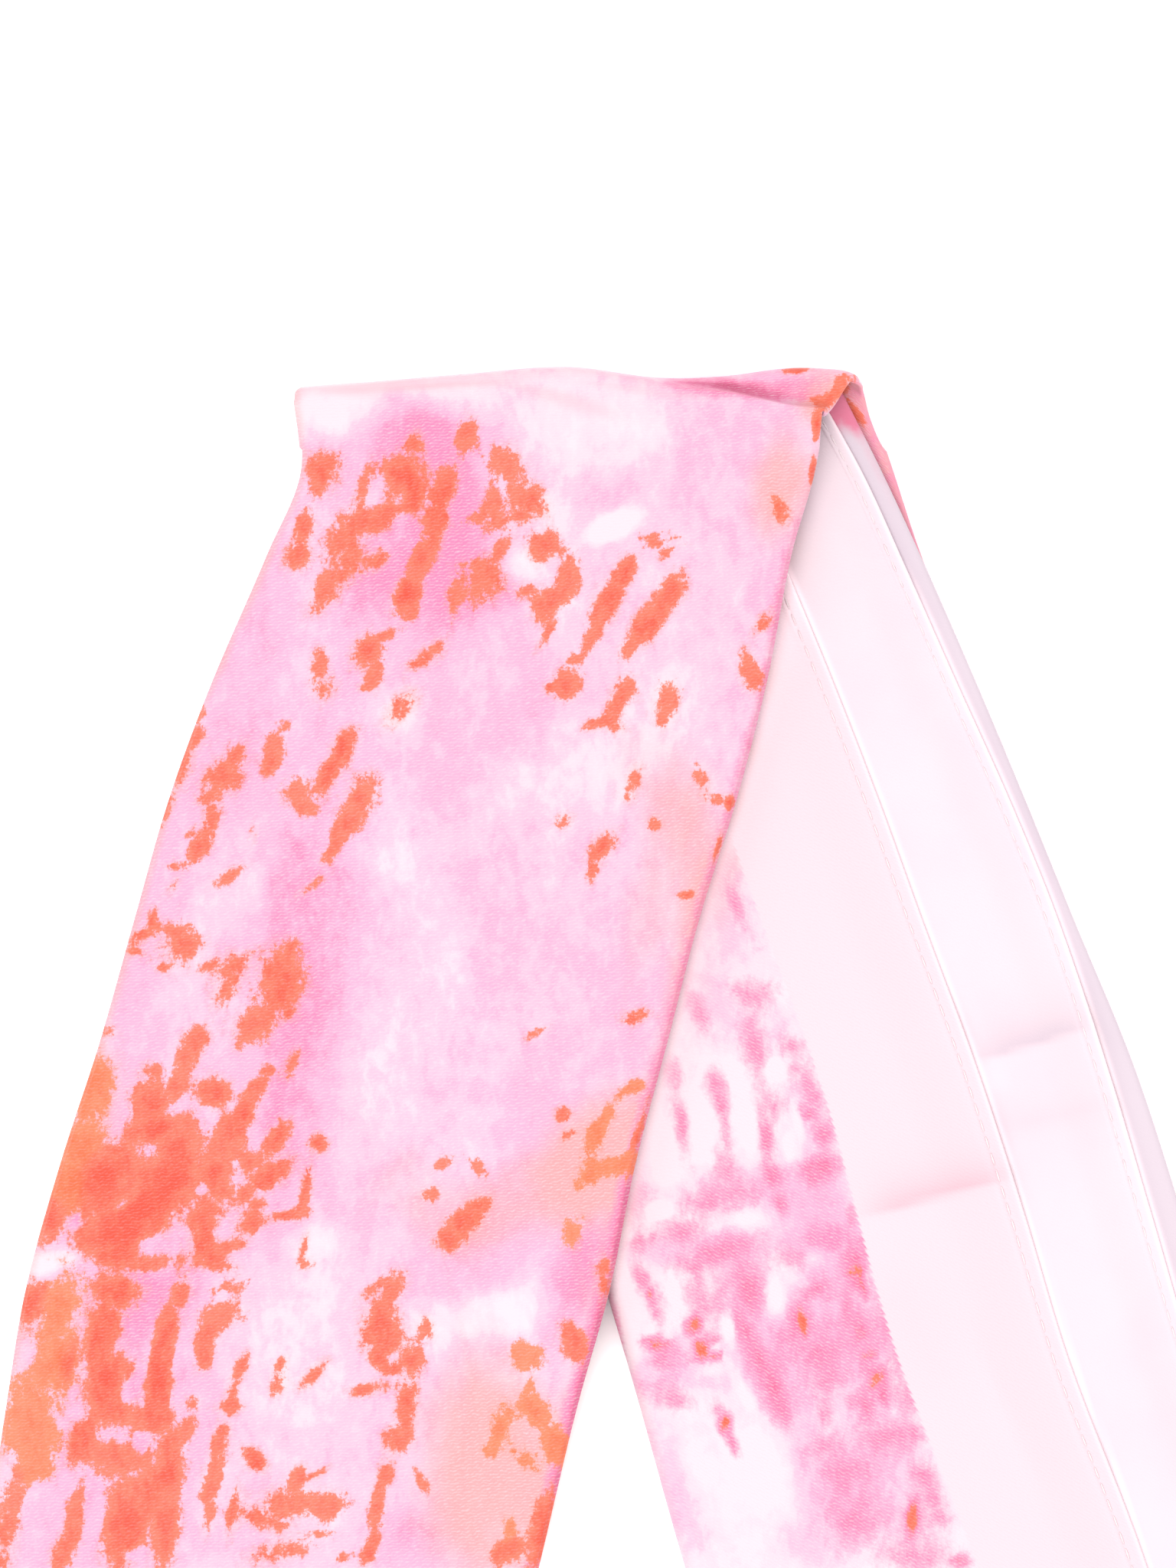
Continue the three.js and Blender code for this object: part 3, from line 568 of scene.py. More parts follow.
valley = valley * hump(turn_y + np.interp(turn_x, valley_x, valley_down), 0.8)
valley = valley * smooth(turn_x, -37, -33) * (1 - smooth(turn_x, 0, 6)) * past_lip
outer_depth = turn_thick / 2 * (1 - np.sin(turn_angle)) + valley * (1 - smooth(around, 0.45, 0.55))
inner_depth = turn_thick / 2 * (1 + np.sin(turn_angle))
turn_outer, turn_inner = (
    np.stack([turn_x, turn_y + along_z * depth, np.maximum(turn_z - along_y * depth - drop, 0)], -1)
    for depth in (outer_depth, inner_depth)
)

# Third stretch: on the table, under the back fall.
under_down, under_end = rows_down(LIP, END, OUTERMOST / 2, 3, 4)
under_down, under_end = under_down[1:], under_end[1:]
under_inset = fold_inset(turn_angle, OUTERMOST / 2) + EDGE_ROOM * (1 - share)
under_x, under_y = station(BACK_FALL, "right", under_down, share, under_inset)
under_inner, under_outer = slab(under_x, under_y, 0, OUTERMOST, np.sin(turn_angle) * np.sin(under_end))

# The three are one cloth, and the weave and the dye run on from one to the next.
outer = np.concatenate([front_outer, turn_outer, under_outer])
inner = np.concatenate([front_inner, turn_inner, under_inner])
step = np.linalg.norm(np.diff(outer, axis=0), axis=-1)
run = np.concatenate([np.zeros_like(step[:1]), np.cumsum(step, axis=0)])
run = run - run[len(front_outer) - 1]
turned = (np.arange(len(outer)) >= len(front_outer))[:, None]
plan_x, plan_down = outer[..., 0], -outer[..., 1]
cloth_along = np.where(turned, run - LIP, -plan_down)

# The dye. From low behind the turn on, and on the inner side, it is the print of another place on the
# cloth. On the strip that shows beside the lower flap, the inner side has the print that lies there.
# Painted shade is added along the folded edges and just behind the turn's crease.
BEHIND_FROM = 0.66
STRIP_FROM = 35.5
under_rows = len(front_outer) + int(TURN_ROWS * BEHIND_FROM)
strip = (plan_x > STRIP_FROM) & turned
dye = front_print(plan_x, plan_down)
dye_behind = front_print(-plan_x[under_rows:] + 2, np.abs(plan_down[under_rows:]) + 3)
dye_inner = front_print(-inner[..., 0] - 8, np.abs(inner[..., 1]))
dye_strip = front_print(inner[..., 0], -inner[..., 1])
for look in dye:
    dye[look][under_rows:] = dye_behind[look]
    dye_inner[look] = np.where(strip, dye_strip[look], dye_inner[look])
# Painted shade along the front fall's rolled edges, as peach and rose bands.
front_right_fold_shade = hump(outer[:, -1:, 0] - plan_x, 2.2) * smooth(plan_down, 8, 26)
front_left_fold_shade = 0.5 * hump(plan_x - outer[:, :1, 0], 1.3)
for side in (dye, dye_inner):
    side["peach"] = side["peach"] + front_left_fold_shade + 0.5 * front_right_fold_shade * smooth(plan_down, 52, 70)
dye_inner["peach"] = np.where(strip, 0.7, dye_inner["peach"])
front_right_fold_rose = front_right_fold_shade * (1.05 + 0.75 * smooth(plan_down, 75, 120))
# The rose on the terrace behind the turn's crease is partly print and partly painted shade; the darker band
# just behind the crease is painted shade.
terrace = hump(plan_x - 24, 12, 4) * hump(plan_down - 0.4, 2.2, 4) * turned
terrace = terrace * (1 - 0.8 * hump(plan_x - 26, 4) * hump(plan_down + 1.2, 0.9))
crease_shade = hump(plan_down + read(CREST, "crease", plan_x) + 0.7, 0.9)
fold_tint = np.maximum(terrace * (1.15 + 0.55 * crease_shade), front_right_fold_rose) - NO_ROSE
strip_tint = np.where(strip, NO_ROSE, 0) - NO_ROSE
# Painted shade in the crest's soft folds.
painted_shade = patches(CREST_SHADE, plan_x, plan_down)
from_end = END - np.concatenate([down, np.full((TURN_ROWS, 1), LIP), under_down])
printed = np.broadcast_to(from_end - BORDER, plan_x.shape)
cloth = np.stack([plan_x, cloth_along, plan_x * 0], -1)
outer_cloth = closed_cloth("outer_layer", outer, inner, {
    **{look: (dye[look], dye_inner[look]) for look in dye},
    "rose": (fold_tint, strip_tint),
    "printed": (printed, printed),
    "painted_shade": (painted_shade, painted_shade),
    "cloth": (cloth, cloth),
})


def add(tree, kind, *inputs, **settings):
    """Adds a shader node. Its inputs are given in order, as numbers or as other nodes' sockets."""
    made = tree.nodes.new(kind)
    for name, value in settings.items():
        setattr(made, name, value)
    for i, value in enumerate(inputs):
        if isinstance(value, bpy.types.NodeSocket):
            tree.links.new(value, made.inputs[i])
        else:
            made.inputs[i].default_value = value
    return made


def calc(tree, operation, *inputs):
    return add(tree, "ShaderNodeMath", *inputs, operation=operation).outputs[0]


def ramp(tree, value, low, high):
    """0 at low, 1 at high, on a smooth step between."""
    made = add(tree, "ShaderNodeMapRange", value, low, high, interpolation_type="SMOOTHSTEP")
    return made.outputs[0]


def sway(tree, base, value, middle, by):
    """A value, moved by as much as another strays from its middle."""
    return calc(tree, "ADD", base, calc(tree, "MULTIPLY", calc(tree, "SUBTRACT", value, middle), by))


def tint(tree, share, under, over, most=None):
    """One colour over another, by share, and at most by so much where that is given."""
    if most is not None:
        share = calc(tree, "MULTIPLY", share, most)
    made = add(tree, "ShaderNodeMix", data_type="RGBA", blend_type="MIX")
    for socket, value in (("Factor_Float", share), ("A_Color", under), ("B_Color", over)):
        spot = next(s for s in made.inputs if s.identifier == socket)
        if isinstance(value, bpy.types.NodeSocket):
            tree.links.new(value, spot)
        else:
            spot.default_value = value
    return next(s for s in made.outputs if s.identifier == "Result_Color")


def noise(tree, cloth, scale, detail=4, rough=0.55, distortion=0.0, output="Fac"):
    made = add(tree, "ShaderNodeTexNoise", noise_dimensions="3D")
    tree.links.new(cloth, made.inputs["Vector"])
    fill(made, {"Scale": scale, "Detail": detail, "Roughness": rough, "Distortion": distortion})
    return made.outputs[output]


def group(name, inputs, outputs):
    """A shader node group with these sockets, and its two end nodes."""
    tree = bpy.data.node_groups.new(name, "ShaderNodeTree")
    for way, sockets in (("INPUT", inputs), ("OUTPUT", outputs)):
        for label, kind in sockets.items():
            tree.interface.new_socket(label, in_out=way, socket_type=kind)
    return tree, tree.nodes.new("NodeGroupInput"), tree.nodes.new("NodeGroupOutput")


def look_of(tree, name, output="Fac"):
    """One of the looks kept at the cloth's corners."""
    return add(tree, "ShaderNodeAttribute", attribute_name=name).outputs[output]


# Satin weave: staggered floats, about a millimetre long, in rows 0.4 mm apart. Vectors are in millimetres.
WEAVE_WAVES = [((0, 2.46, 0), 0.5), ((0.61, -1.69, 0), 0.34), ((1.48, -1.77, 0), 0.3)]
WEAVE_STRAY = 0.55  # how unevenly the threads run
WEAVE_DEPTH = 0.06  # how deep the relief of the threads is
weave, weave_in, weave_out = group(
    "satin_weave", {"Cloth": "NodeSocketVector"}, {"Thread": "NodeSocketFloat", "Height": "NodeSocketFloat"},
)
on_cloth = weave_in.outputs["Cloth"]
shift = noise(weave, on_cloth, 0.9, 2, 0.5, output="Color")
centred = add(weave, "ShaderNodeVectorMath", shift, (0.5, 0.5, 0.5), operation="SUBTRACT")
wobble = add(weave, "ShaderNodeVectorMath", centred.outputs[0], operation="SCALE")
fill(wobble, {"Scale": WEAVE_STRAY})
placed = add(weave, "ShaderNodeVectorMath", on_cloth, wobble.outputs[0], operation="ADD")
total = 0.0
for wave, share_of in WEAVE_WAVES:
    cycles = add(weave, "ShaderNodeVectorMath", placed.outputs[0], wave, operation="DOT_PRODUCT")
    turn_of = calc(weave, "MULTIPLY", cycles.outputs["Value"], 2 * math.pi)
    total = calc(weave, "ADD", calc(weave, "MULTIPLY", calc(weave, "COSINE", turn_of), share_of), total)
floats = ramp(weave, total, -0.55, 0.95)
uneven = noise(weave, on_cloth, 1.7, 3, 0.7)
weave.links.new(calc(weave, "MULTIPLY", floats, ramp(weave, uneven, 0.25, 0.7)), weave_out.inputs["Thread"])
weave.links.new(floats, weave_out.inputs["Height"])


def cloth_tone(red, green, blue):
    """A cloth's or a thread's colour, given as it looks in this light."""
    return tuple(value / over for value, over in zip(linear(red, green, blue), BRIGHT)) + (1,)


# Tie-dye: pale to strong pink clouds, peach where dyes mixed, rose blotches, and coral stains with
# ragged rims, inside an unprinted border that ends in a toothed line. Painted shade and painted light go
# over it, and its peach and rose looks also carry painted shade along folds.
BRIGHT = (1.68, 1.92, 1.92)  # how much brighter than white each colour gets, so the shadows stay pale
PAINTED_LIGHT = linear(224, 202, 208)  # painted light: brighter than the lit cloth, it lifts contact shade beside hems and edges and paints a highlight on hem rims
PINKS = [(0.0, (253, 238, 247)), (0.14, (252, 229, 242)), (0.36, (251, 205, 231)), (0.55, (251, 186, 222)),
         (0.95, (250, 144, 193))]
TEETH = (1.05, 1.2, 0)  # teeth of the print's rim in a millimetre, across and along the cloth
TOOTH = 0.7  # twice a tooth's depth
LOOKS = ("Stain", "Gold", "Pink", "Peach", "Rose", "Printed", "Painted_shade", "Painted_light", "Thread")
dyeing, dye_in, dye_out = group(
    "tie_dye", {"Cloth": "NodeSocketVector", **{look: "NodeSocketFloat" for look in LOOKS}},
    {"Color": "NodeSocketColor"},
)
spot = dye_in.outputs
flow = add(dyeing, "ShaderNodeMapping", spot["Cloth"])
fill(flow, {"Rotation": (0, 0, math.radians(-12)), "Scale": (1.0, 0.62, 1.0)})
mottle = noise(dyeing, flow.outputs[0], 0.11, 7, 0.6, 0.4)
grain = noise(dyeing, flow.outputs[0], 0.75, 5, 0.62)
fringe = noise(dyeing, flow.outputs[0], 0.42, 9, 0.68, 0.25)
speck = noise(dyeing, spot["Cloth"], 1.9, 3, 0.7)
cloudy = sway(dyeing, sway(dyeing, 0.0, mottle, 0.5, 0.8), fringe, 0.5, 0.8)
cloudy = calc(dyeing, "MULTIPLY", cloudy, ramp(dyeing, spot["Pink"], -0.5, 0.3))
clouding = add(dyeing, "ShaderNodeValToRGB", calc(dyeing, "ADD", spot["Pink"], cloudy))
clouding.color_ramp.interpolation = "EASE"
for i, (at, colour) in enumerate(PINKS):
    stop = clouding.color_ramp.elements[i] if i < 2 else clouding.color_ramp.elements.new(at)
    stop.position = at
    stop.color = cloth_tone(*colour)
colour = clouding.outputs["Color"]
peach = ramp(dyeing, sway(dyeing, spot["Peach"], mottle, 0.5, 0.9), 0.08, 0.85)
colour = tint(dyeing, peach, colour, cloth_tone(252, 176, 172), 0.85)
rosy = sway(dyeing, sway(dyeing, spot["Rose"], fringe, 0.5, 1.5), speck, 0.5, 0.45)
colour = tint(dyeing, ramp(dyeing, rosy, -0.42, 0.42), colour, cloth_tone(248, 144, 190), 0.92)
colour = tint(dyeing, ramp(dyeing, rosy, 0.2, 1.0), colour, cloth_tone(232, 108, 158))
ragged = sway(dyeing, sway(dyeing, spot["Stain"], fringe, 0.46, 2.2), speck, 0.5, 1.15)
halo = calc(dyeing, "MULTIPLY", ramp(dyeing, ragged, -0.6, 0), ramp(dyeing, mottle, 0.35, 0.6))
colour = tint(dyeing, halo, colour, cloth_tone(253, 170, 160), 0.4)
wet = ramp(dyeing, ragged, -0.16, 0.14)
depth = sway(dyeing, calc(dyeing, "MULTIPLY", ragged, 0.6), calc(dyeing, "ADD", mottle, grain), 0.9, 1.3)
depth = ramp(dyeing, depth, 0, 1.05)
coral = tint(dyeing, depth, cloth_tone(250, 128, 94), cloth_tone(238, 78, 38))
golden = tint(dyeing, depth, cloth_tone(252, 144, 98), cloth_tone(247, 112, 54))
coral = tint(dyeing, spot["Gold"], coral, golden)
colour = tint(dyeing, wet, colour, coral, 0.95)
dry = calc(dyeing, "SUBTRACT", 0.48, calc(dyeing, "MULTIPLY", wet, 0.33))
colour = tint(dyeing, spot["Thread"], colour, cloth_tone(254, 240, 247), dry)
teeth = add(dyeing, "ShaderNodeVectorMath", spot["Cloth"], TEETH, operation="DOT_PRODUCT")
tooth = calc(dyeing, "PINGPONG", teeth.outputs["Value"], 0.5)
rim = calc(dyeing, "ADD", spot["Printed"], calc(dyeing, "MULTIPLY", tooth, TOOTH))
colour = tint(dyeing, ramp(dyeing, rim, 0.1, 0.45), cloth_tone(252, 234, 243), colour)
# Painted shade in creases, folds and beside hems.
colour = tint(dyeing, spot["Painted_shade"], colour, cloth_tone(240, 200, 214))
# Painted light: lifts the contact shade beside hems and edges, and a painted highlight on hem rims.
colour = tint(dyeing, spot["Painted_light"], colour, PAINTED_LIGHT)
dyeing.links.new(colour, dye_out.inputs["Color"])


def satin(name, weave_turn, bump):
    """A light satin with the weave turned by so many degrees. Gives the material, its tree, its shader,
    its weave group and the cloth's vector."""
    made = bpy.data.materials.new(name)
    made.use_nodes = True
    tree = made.node_tree
    shader = tree.nodes["Principled BSDF"]
    fill(shader, {
        "Roughness": 0.62, "Specular IOR Level": 0.3, "Sheen Weight": 0.12, "Sheen Roughness": 0.4,
    })
    cloth_spot = look_of(tree, "cloth", "Vector")
    turned_cloth = add(tree, "ShaderNodeMapping", cloth_spot)
    fill(turned_cloth, {"Rotation": (0, 0, math.radians(weave_turn))})
    woven = add(tree, "ShaderNodeGroup", node_tree=weave)
    tree.links.new(turned_cloth.outputs[0], woven.inputs["Cloth"])
    relief = add(tree, "ShaderNodeBump")
    fill(relief, {"Strength": bump, "Distance": WEAVE_DEPTH * MM})
    tree.links.new(woven.outputs["Height"], relief.inputs["Height"])
    tree.links.new(relief.outputs["Normal"], shader.inputs["Normal"])
    return made, tree, shader, woven, cloth_spot


def printed_satin(name, weave_turn):
    made, tree, shader, woven, cloth_spot = satin(name, weave_turn, 0.35)
    dyed = add(tree, "ShaderNodeGroup", node_tree=dyeing)
    tree.links.new(cloth_spot, dyed.inputs["Cloth"])
    tree.links.new(woven.outputs["Thread"], dyed.inputs["Thread"])
    for look in LOOKS[:-1]:
        tree.links.new(look_of(tree, look.lower()), dyed.inputs[look])
    tree.links.new(dyed.outputs["Color"], shader.inputs["Base Color"])
    return made


outer_cloth.data.materials.append(printed_satin("printed_satin", 0))
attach(outer_cloth, "root")
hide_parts("front_fall", "top_turn", "outermost_layer")

# ---------------------------------------------------------------------------------------------------
# Top flap. The layer on top of the back fall: printed like the rest, with the cloth's plain border and
# its hem, turned under, along the right side. Its left side folds down to the table.
FLAP_BEND = 2.2  # how round its left fold is
TOP_Z = OUTERMOST + GAP + 2 * (CLOTH + GAP)
TOP_SHORT = 1.6  # how far its free end stops short of the outermost layer's
HEM_STITCH = 1.9  # how far in from the edge the stitches run
HEM_THIN = 0.55  # how much thinner the cloth is near its hems than elsewhere
HEM_SINK = 0.25  # how much lower it lies there
HEM_ROUND = 0.28  # how far in the rounding of a hem's edge reaches
HEM_STAND, STAND_WIDE = 0.12, 7  # how far the hem stands off the flap below, and how far in that goes
HEM_STANDS = ((86.5, 4), (100, 6))  # where it stands off: how far down, and half length
STITCH_DIP = 0.07  # how deep the stitches draw the cloth in
CREASE_SOFT = 0.02
FLAP_WEAVE = 32  # the angle of the weave on the flaps, in degrees
FLAT_PLACES = 60
FLAT_TO = 4.2  # the flat stretch ends this far from the edge, and the hem's own places start
FLAP_MIRROR, FLAP_SLANT = SEEN_TO - 8, -0.36
# Creases: middle, half length, how wide its upper and lower sides are, the angle of its run, height.
TOP_CREASES = [
    (48.5, 109.6, 11, 3.0, 6, 15, 0.75),
    (48, 88.8, 3, 0.5, 0.5, 27, 0.08),
    (58, 138, 12, 3, 3, -66, 0.3),
    (63, 186, 17, 3.4, 5, 14, 0.5),
]
# Painted shade along the creases, in the same form; the last number is how dark.
TOP_CREASE_SHADE = [(49, 109.4, 9.5, 3, 0.4, 15, 0.75), (46, 127, 9, 5, 5, -66, 0.08)]
# Stains and clouds in the same form as on the outermost layer.
ROSE_STAINS = [
    (21.7, 70, 3, .9, -65, .35), (23.5, 82.5, 2, 1.3, -45, .4), (26, 81.8, 1.6, .7, 0, .25),
    (16.6, 84.5, 2.4, 1, -65, .45), (24.3, 89.6, 4, 1.5, -80, .55), (29.3, 89.3, 1.5, 1.2, 0, .6),
    (29.3, 92.8, 1, .8, 0, .4), (13.2, 93, 2.5, 1.3, -80, .75), (14.4, 99.5, 4.4, 1, -82, .55),
    (19, 94.6, 2.6, 1.5, -75, .75), (19.8, 97, 2, 1, -75, .85), (20.4, 101, 3.5, .7, -85, .55),
    (20.3, 106, 2.6, 1.4, -80, .6), (25.9, 101.5, 4.5, 1.1, -85, .85), (26.5, 97.5, 1.6, 1.6, 0, .4),
    (26.8, 106.6, 2, 1.4, -70, .85), (27.9, 110.6, 1.5, 1, -70, .8), (31.7, 98.4, 1.5, .6, -20, .65),
    (33.6, 101, 2, 1.2, -60, .6), (33.4, 105.5, 3, 2, 20, .85), (32.4, 107.4, 1.3, .8, 0, .8),
    (32, 95, 4, 1.2, -70, .35), (37.4, 112, 1.5, .7, -80, .75), (22, 109, 3, 1.6, 0, .4),
    (18, 110.5, 3, 1.4, 0, .4), (8, 111, 1.4, 3, 0, .4), (8.4, 115.8, 1.3, 1, 0, .85),
    (10.4, 115, .7, .5, 0, .6), (14.3, 114.2, 3, 1.5, 0, .45), (20, 117, 5.2, 1.7, 14, .65),
    (16, 119, 2, 1, 0, .6), (9.2, 120.6, 2.4, 1.2, -60, .8), (10.4, 123.2, 2, 1, -65, .85),
    (11.2, 125.4, 1.6, .8, -70, .6), (23.6, 121.8, 3.6, 2.3, -70, .8), (23, 127.5, 3, 1.5, -60, .75),
    (25, 131.5, 3.6, 1.8, -60, .8), (27, 135.6, 3.6, 1.9, -65, .8), (28, 139.2, 2.2, 1.4, -60, .6),
    (32.3, 122.4, 2.3, 1.2, 30, .75), (34.3, 123, 1.1, .5, 0, .65), (30.4, 126.8, 2.8, 1.8, -75, .95),
    (28.6, 128.3, 1.3, .5, 10, .75), (33, 130.5, 3.5, 2, 0, .5), (37.7, 118, 2.4, 1.8, 0, .85),
    (38.3, 121, 2.6, 1.5, -75, .85), (36.7, 124.4, 2, .9, -80, .75), (39.3, 116, 1.5, 1.3, 0, .6),
    (39, 127.6, 2.5, 1.9, -70, .75), (41, 134.2, 3.4, 1.8, -60, .9), (41.7, 136.6, 1.3, .8, -70, .75),
    (39.5, 137.6, 2.6, 1.2, -80, .65), (37.8, 137, 1.2, .8, 0, .6), (33.8, 138.8, 1.9, 1, -80, .7),
    (43.3, 131.6, 1.4, .8, -70, .6), (17.5, 123.2, 3, 2.6, 0, .35), (11.6, 129.6, 2.6, 1.2, -20, .9),
    (12, 132, 1.7, 1, 0, .65), (16.5, 131.3, 1.6, .9, 0, .6), (12.8, 136.6, 2.6, 1.5, -20, .5),
    (19.4, 138.2, 1.6, .9, -60, .6), (20.4, 140.4, 1.6, 1.1, -70, .85), (21.4, 143, 2.6, .9, -60, .9),
    (34, 134, 2.4, 2, 0, .45), (42, 142, 4, 2, 0, .55), (46, 141.5, 1.6, 1, -60, .65),
    (47.2, 147.4, 2.2, 1.5, -60, .6), (37, 147, 3, 2, 0, .45), (38, 153, 3.4, 3, 0, .45),
    (46, 152.6, 3, 1.6, 80, .7), (46, 158, 4, 2, 0, .5), (52.3, 158.8, 1.3, .9, 0, .65),
    (34, 143.5, 2, 1.4, 0, .4), (29.5, 118, 2, 1, 0, .3), (42, 126, 3, 1.4, -70, .45),
    (45, 136.5, 3, 1.2, -70, .45), (48.6, 151, 3, 1.3, -70, .5),
]
ROSE_CORAL = [  # coral in the rose stains' middles
    (10.2, 122.8, .8, .45, -60, .6), (30.8, 126.7, 2.2, .7, -80, 1), (38, 119.4, 1.3, .6, 20, .7),
    (38.7, 121.4, 1.6, .5, -75, .6), (38.8, 128, .8, .5, 0, .45), (39.6, 130.8, .8, .4, 0, .4),
    (40.9, 134, 1.4, .7, 50, .6), (16.2, 126.7, 1.3, .9, 60, .8), (17.2, 130.2, 1.3, .8, -70, .8),
    (19.3, 131.2, .6, .5, 0, .75), (18.7, 128.6, .6, .4, 0, .45), (11.2, 129.4, 1.4, .6, -10, .5),
    (20.3, 140.3, 1.1, .7, 80, .85), (45.6, 152.8, 2.3, .8, 85, 1.1), (52, 158.8, .8, .5, 0, .6),
]
ROSE_BARE = [  # spots that the rose left bare
    (7.2, 125, 8, 1.2, -82, .9), (13.5, 122.6, 3.6, .9, -82, .9), (27.1, 123.6, 3.6, 1.6, -85, .9),
    (20.9, 127.6, 2.6, 1, -80, .7), (22.8, 135.8, 4, .9, -62, .6), (33.2, 118, 3, 1.8, 0, .6),
    (27.3, 92.4, 1.6, 1.4, 0, .6), (29, 103, 2.6, 1, -80, .5), (12, 105, 2, 4, 0, .7),
    (23, 112.5, 2.4, 1.2, 0, .35), (11.4, 111.4, 2, 1.2, 0, .8), (25, 146, 3, 5, 0, .3),
    (18, 133, 2.4, 1.2, 0, .45), (23.4, 99, 5, 1.1, -82, .7), (16.8, 100, 5, 1, -84, .7),
    (30.2, 100, 4.4, .8, -78, .6), (10.8, 100, 5, 1, -75, .8), (29, 151, 5, 2.4, -65, .3),
    (17, 147, 6, 2, -70, .3),
]
ROSE_CLOUDS = [  # a haze of rose between the stains
    (19, 74, 14, 9, 72, .16), (31, 111, 8, 5, -70, .3), (13, 151, 9, 6, -70, .1), (25, 87, 7, 4.4, 0, .2),
    (33, 101, 9, 3.4, -70, .3), (22, 109, 13, 3.6, 0, .2), (18, 116.4, 13, 2.2, 4, .32),
    (36, 117, 5, 5, 0, .35), (36, 127, 8, 7, 0, .35), (25, 127, 12, 4.6, -70, .35),
    (41, 142, 18, 8, -70, .24), (13, 132, 7, 4, 20, .26), (34, 152, 8, 8, 0, .26), (26, 145, 5, 5, 0, -.1),
    (13, 145, 12, 6, -70, .12), (19, 134, 5, 3, 0, .12), (33, 147, 9, 6, -70, .1), (27, 137, 9, 5, -70, .2),
    (8, 104, 8, 3, -70, .12),
]
PALE_PEACH = [(17, 72, 14, 4, 70, .25), (22, 62, 8, 6, 60, .2)]


def creases(rows, x, y):
    """How much sharp creases lift the cloth. Both sides of a crease ease off, each over its own width."""
    lift = np.zeros_like(x)
    for across, at, long, upper, lower, angle, high in rows:
        along, off = run_of(x, -y, across, at, angle)
        off = np.where(off > 0, off / upper, -off / lower)
        lift += high * np.exp(-(along / long) ** 4 - (np.sqrt(off**2 + CREASE_SOFT) - 0.14) * 1.2)
    return lift


def hem_lift(x, y, inset):
    """The top flap's hem stands off the flap below it at two places, each side of a crease."""
    stand = sum(hump(-y - at, width) for at, width in HEM_STANDS)
    return HEM_STAND * stand * (1 - smooth(inset, 0, STAND_WIDE))


def flap_cloth(name, x, y, outer, inner, looks):
    """A flap's closed shell, with its faces turned outward and the same looks on both sides."""
    looks["cloth"] = np.stack([x, y, x * 0], -1)
    turned = {look: (values[::-1], values[::-1]) for look, values in looks.items()}
    return closed_cloth(name, outer[::-1], inner[::-1], turned)


def flap_print(x, down):
    """The dye on the top flap, rosier than on the front fall and with little coral, with painted shade at
    its left fold.
    """
    left = read(BACK_FALL, "left", down)
    x, down = mirrored(x, down, FLAP_MIRROR, FLAP_SLANT)
    bare = np.maximum(stains(ROSE_BARE, x, down, 5) + 0.1, 0) * 0.8
    haze = patches(ROSE_CLOUDS, x, down)
    # Painted shade along the left fold where it meets the front fall's edge, as rose.
    left_fold_shade = hump(x - left, 1.2) * hump(down - 123, 9)
    coral = stains(ROSE_CORAL, x, down)
    rose = stains(ROSE_STAINS, x, down, 6) + haze * 0.25 - bare - 0.05
    return {
        "stain": coral - 0.3,
        "gold": x * 0,
        "pink": haze * 1.5 - bare + 0.02,
        "peach": patches(PALE_PEACH, x, down),
        "rose": np.max([rose, left_fold_shade * 2.2 - NO_ROSE, coral * 1.2 + 0.6], 0),
    }


# The flap's section: how far each place lies from the left fold or the right edge, the height of its
# middle, which way it faces, and its share of the cloth's thickness.
top = TOP_Z + CLOTH
half_cloth = CLOTH / 2
middle_bend = FLAP_BEND - half_cloth
quarter = np.linspace(0, math.pi / 2, 6)
hem_inset = [3.8, 3.3, 2.95, 2.7, 2.5, 2.3, 2.12, 2.0, 1.9, 1.8, 1.68, 1.45, 1.05, 0.65, 0.4]
section = [(0, half_cloth, 0, half_cloth * (1 - math.cos(a)), -1, 0, math.sin(a)) for a in quarter]
section += [(0, half_cloth, 0, z, -1, 0, 1) for z in np.linspace(half_cloth, top - FLAP_BEND, 4)[1:-1]]
for a in np.linspace(0, math.pi / 2, 9):
    x, z = FLAP_BEND - middle_bend * math.cos(a), top - FLAP_BEND + middle_bend * math.sin(a)
    section.append((0, x, 0, z, -math.cos(a), math.sin(a), 1))
for s in np.linspace(0, 1, FLAT_PLACES + 1)[1:-1]:
    section.append((s, FLAP_BEND, FLAT_TO, top - half_cloth, 0, 1, 1))
for inset in hem_inset:
    section.append((1, FLAP_BEND, inset, top - half_cloth, 0, 1, 1))
for a in quarter[::-1][1:]:
    section.append((1, FLAP_BEND, HEM_ROUND * (1 - math.cos(a)), top - half_cloth, 0, 1, math.sin(a)))
share, left_inset, right_inset, middle_z, face_x, face_z, rise = np.array(section).T[:, None, :]

down, end_angle = rows_down(LIP + GAP, END - TOP_SHORT, half_cloth)
flap_x, flap_y = station(BACK_FALL, "top_hem", down, share, left_inset, right_inset)
edge_x = read(BACK_FALL, "top_hem", -flap_y)
at_hem = share == 1
hem_share = np.where(at_hem, 1 - smooth(right_inset, HEM - 0.15, HEM + 0.35), 0)
thick = CLOTH + HEM_SWELL * hem_share
lift = creases(TOP_CREASES, flap_x, flap_y) + hem_lift(flap_x, flap_y, edge_x - flap_x)
lift = lift * smooth(face_z, 0.2, 1)
stitch_dip = STITCH_DIP * hump(right_inset - HEM_STITCH, 0.2) * at_hem
hem_end = end_hem(down, END - TOP_SHORT) * face_z
near_hem = (1 - smooth(edge_x - flap_x, 3, 12)) * face_z
thin = HEM_THIN * near_hem + 0.15 * hem_share
shut = thick / 2 * (1 - rise) * at_hem
middle = middle_z + HEM_SWELL / 2 * hem_share + lift - HEM_SINK * near_hem - shut
flap_rise = rise * np.sin(end_angle)
half_thick = thick / 2 * flap_rise
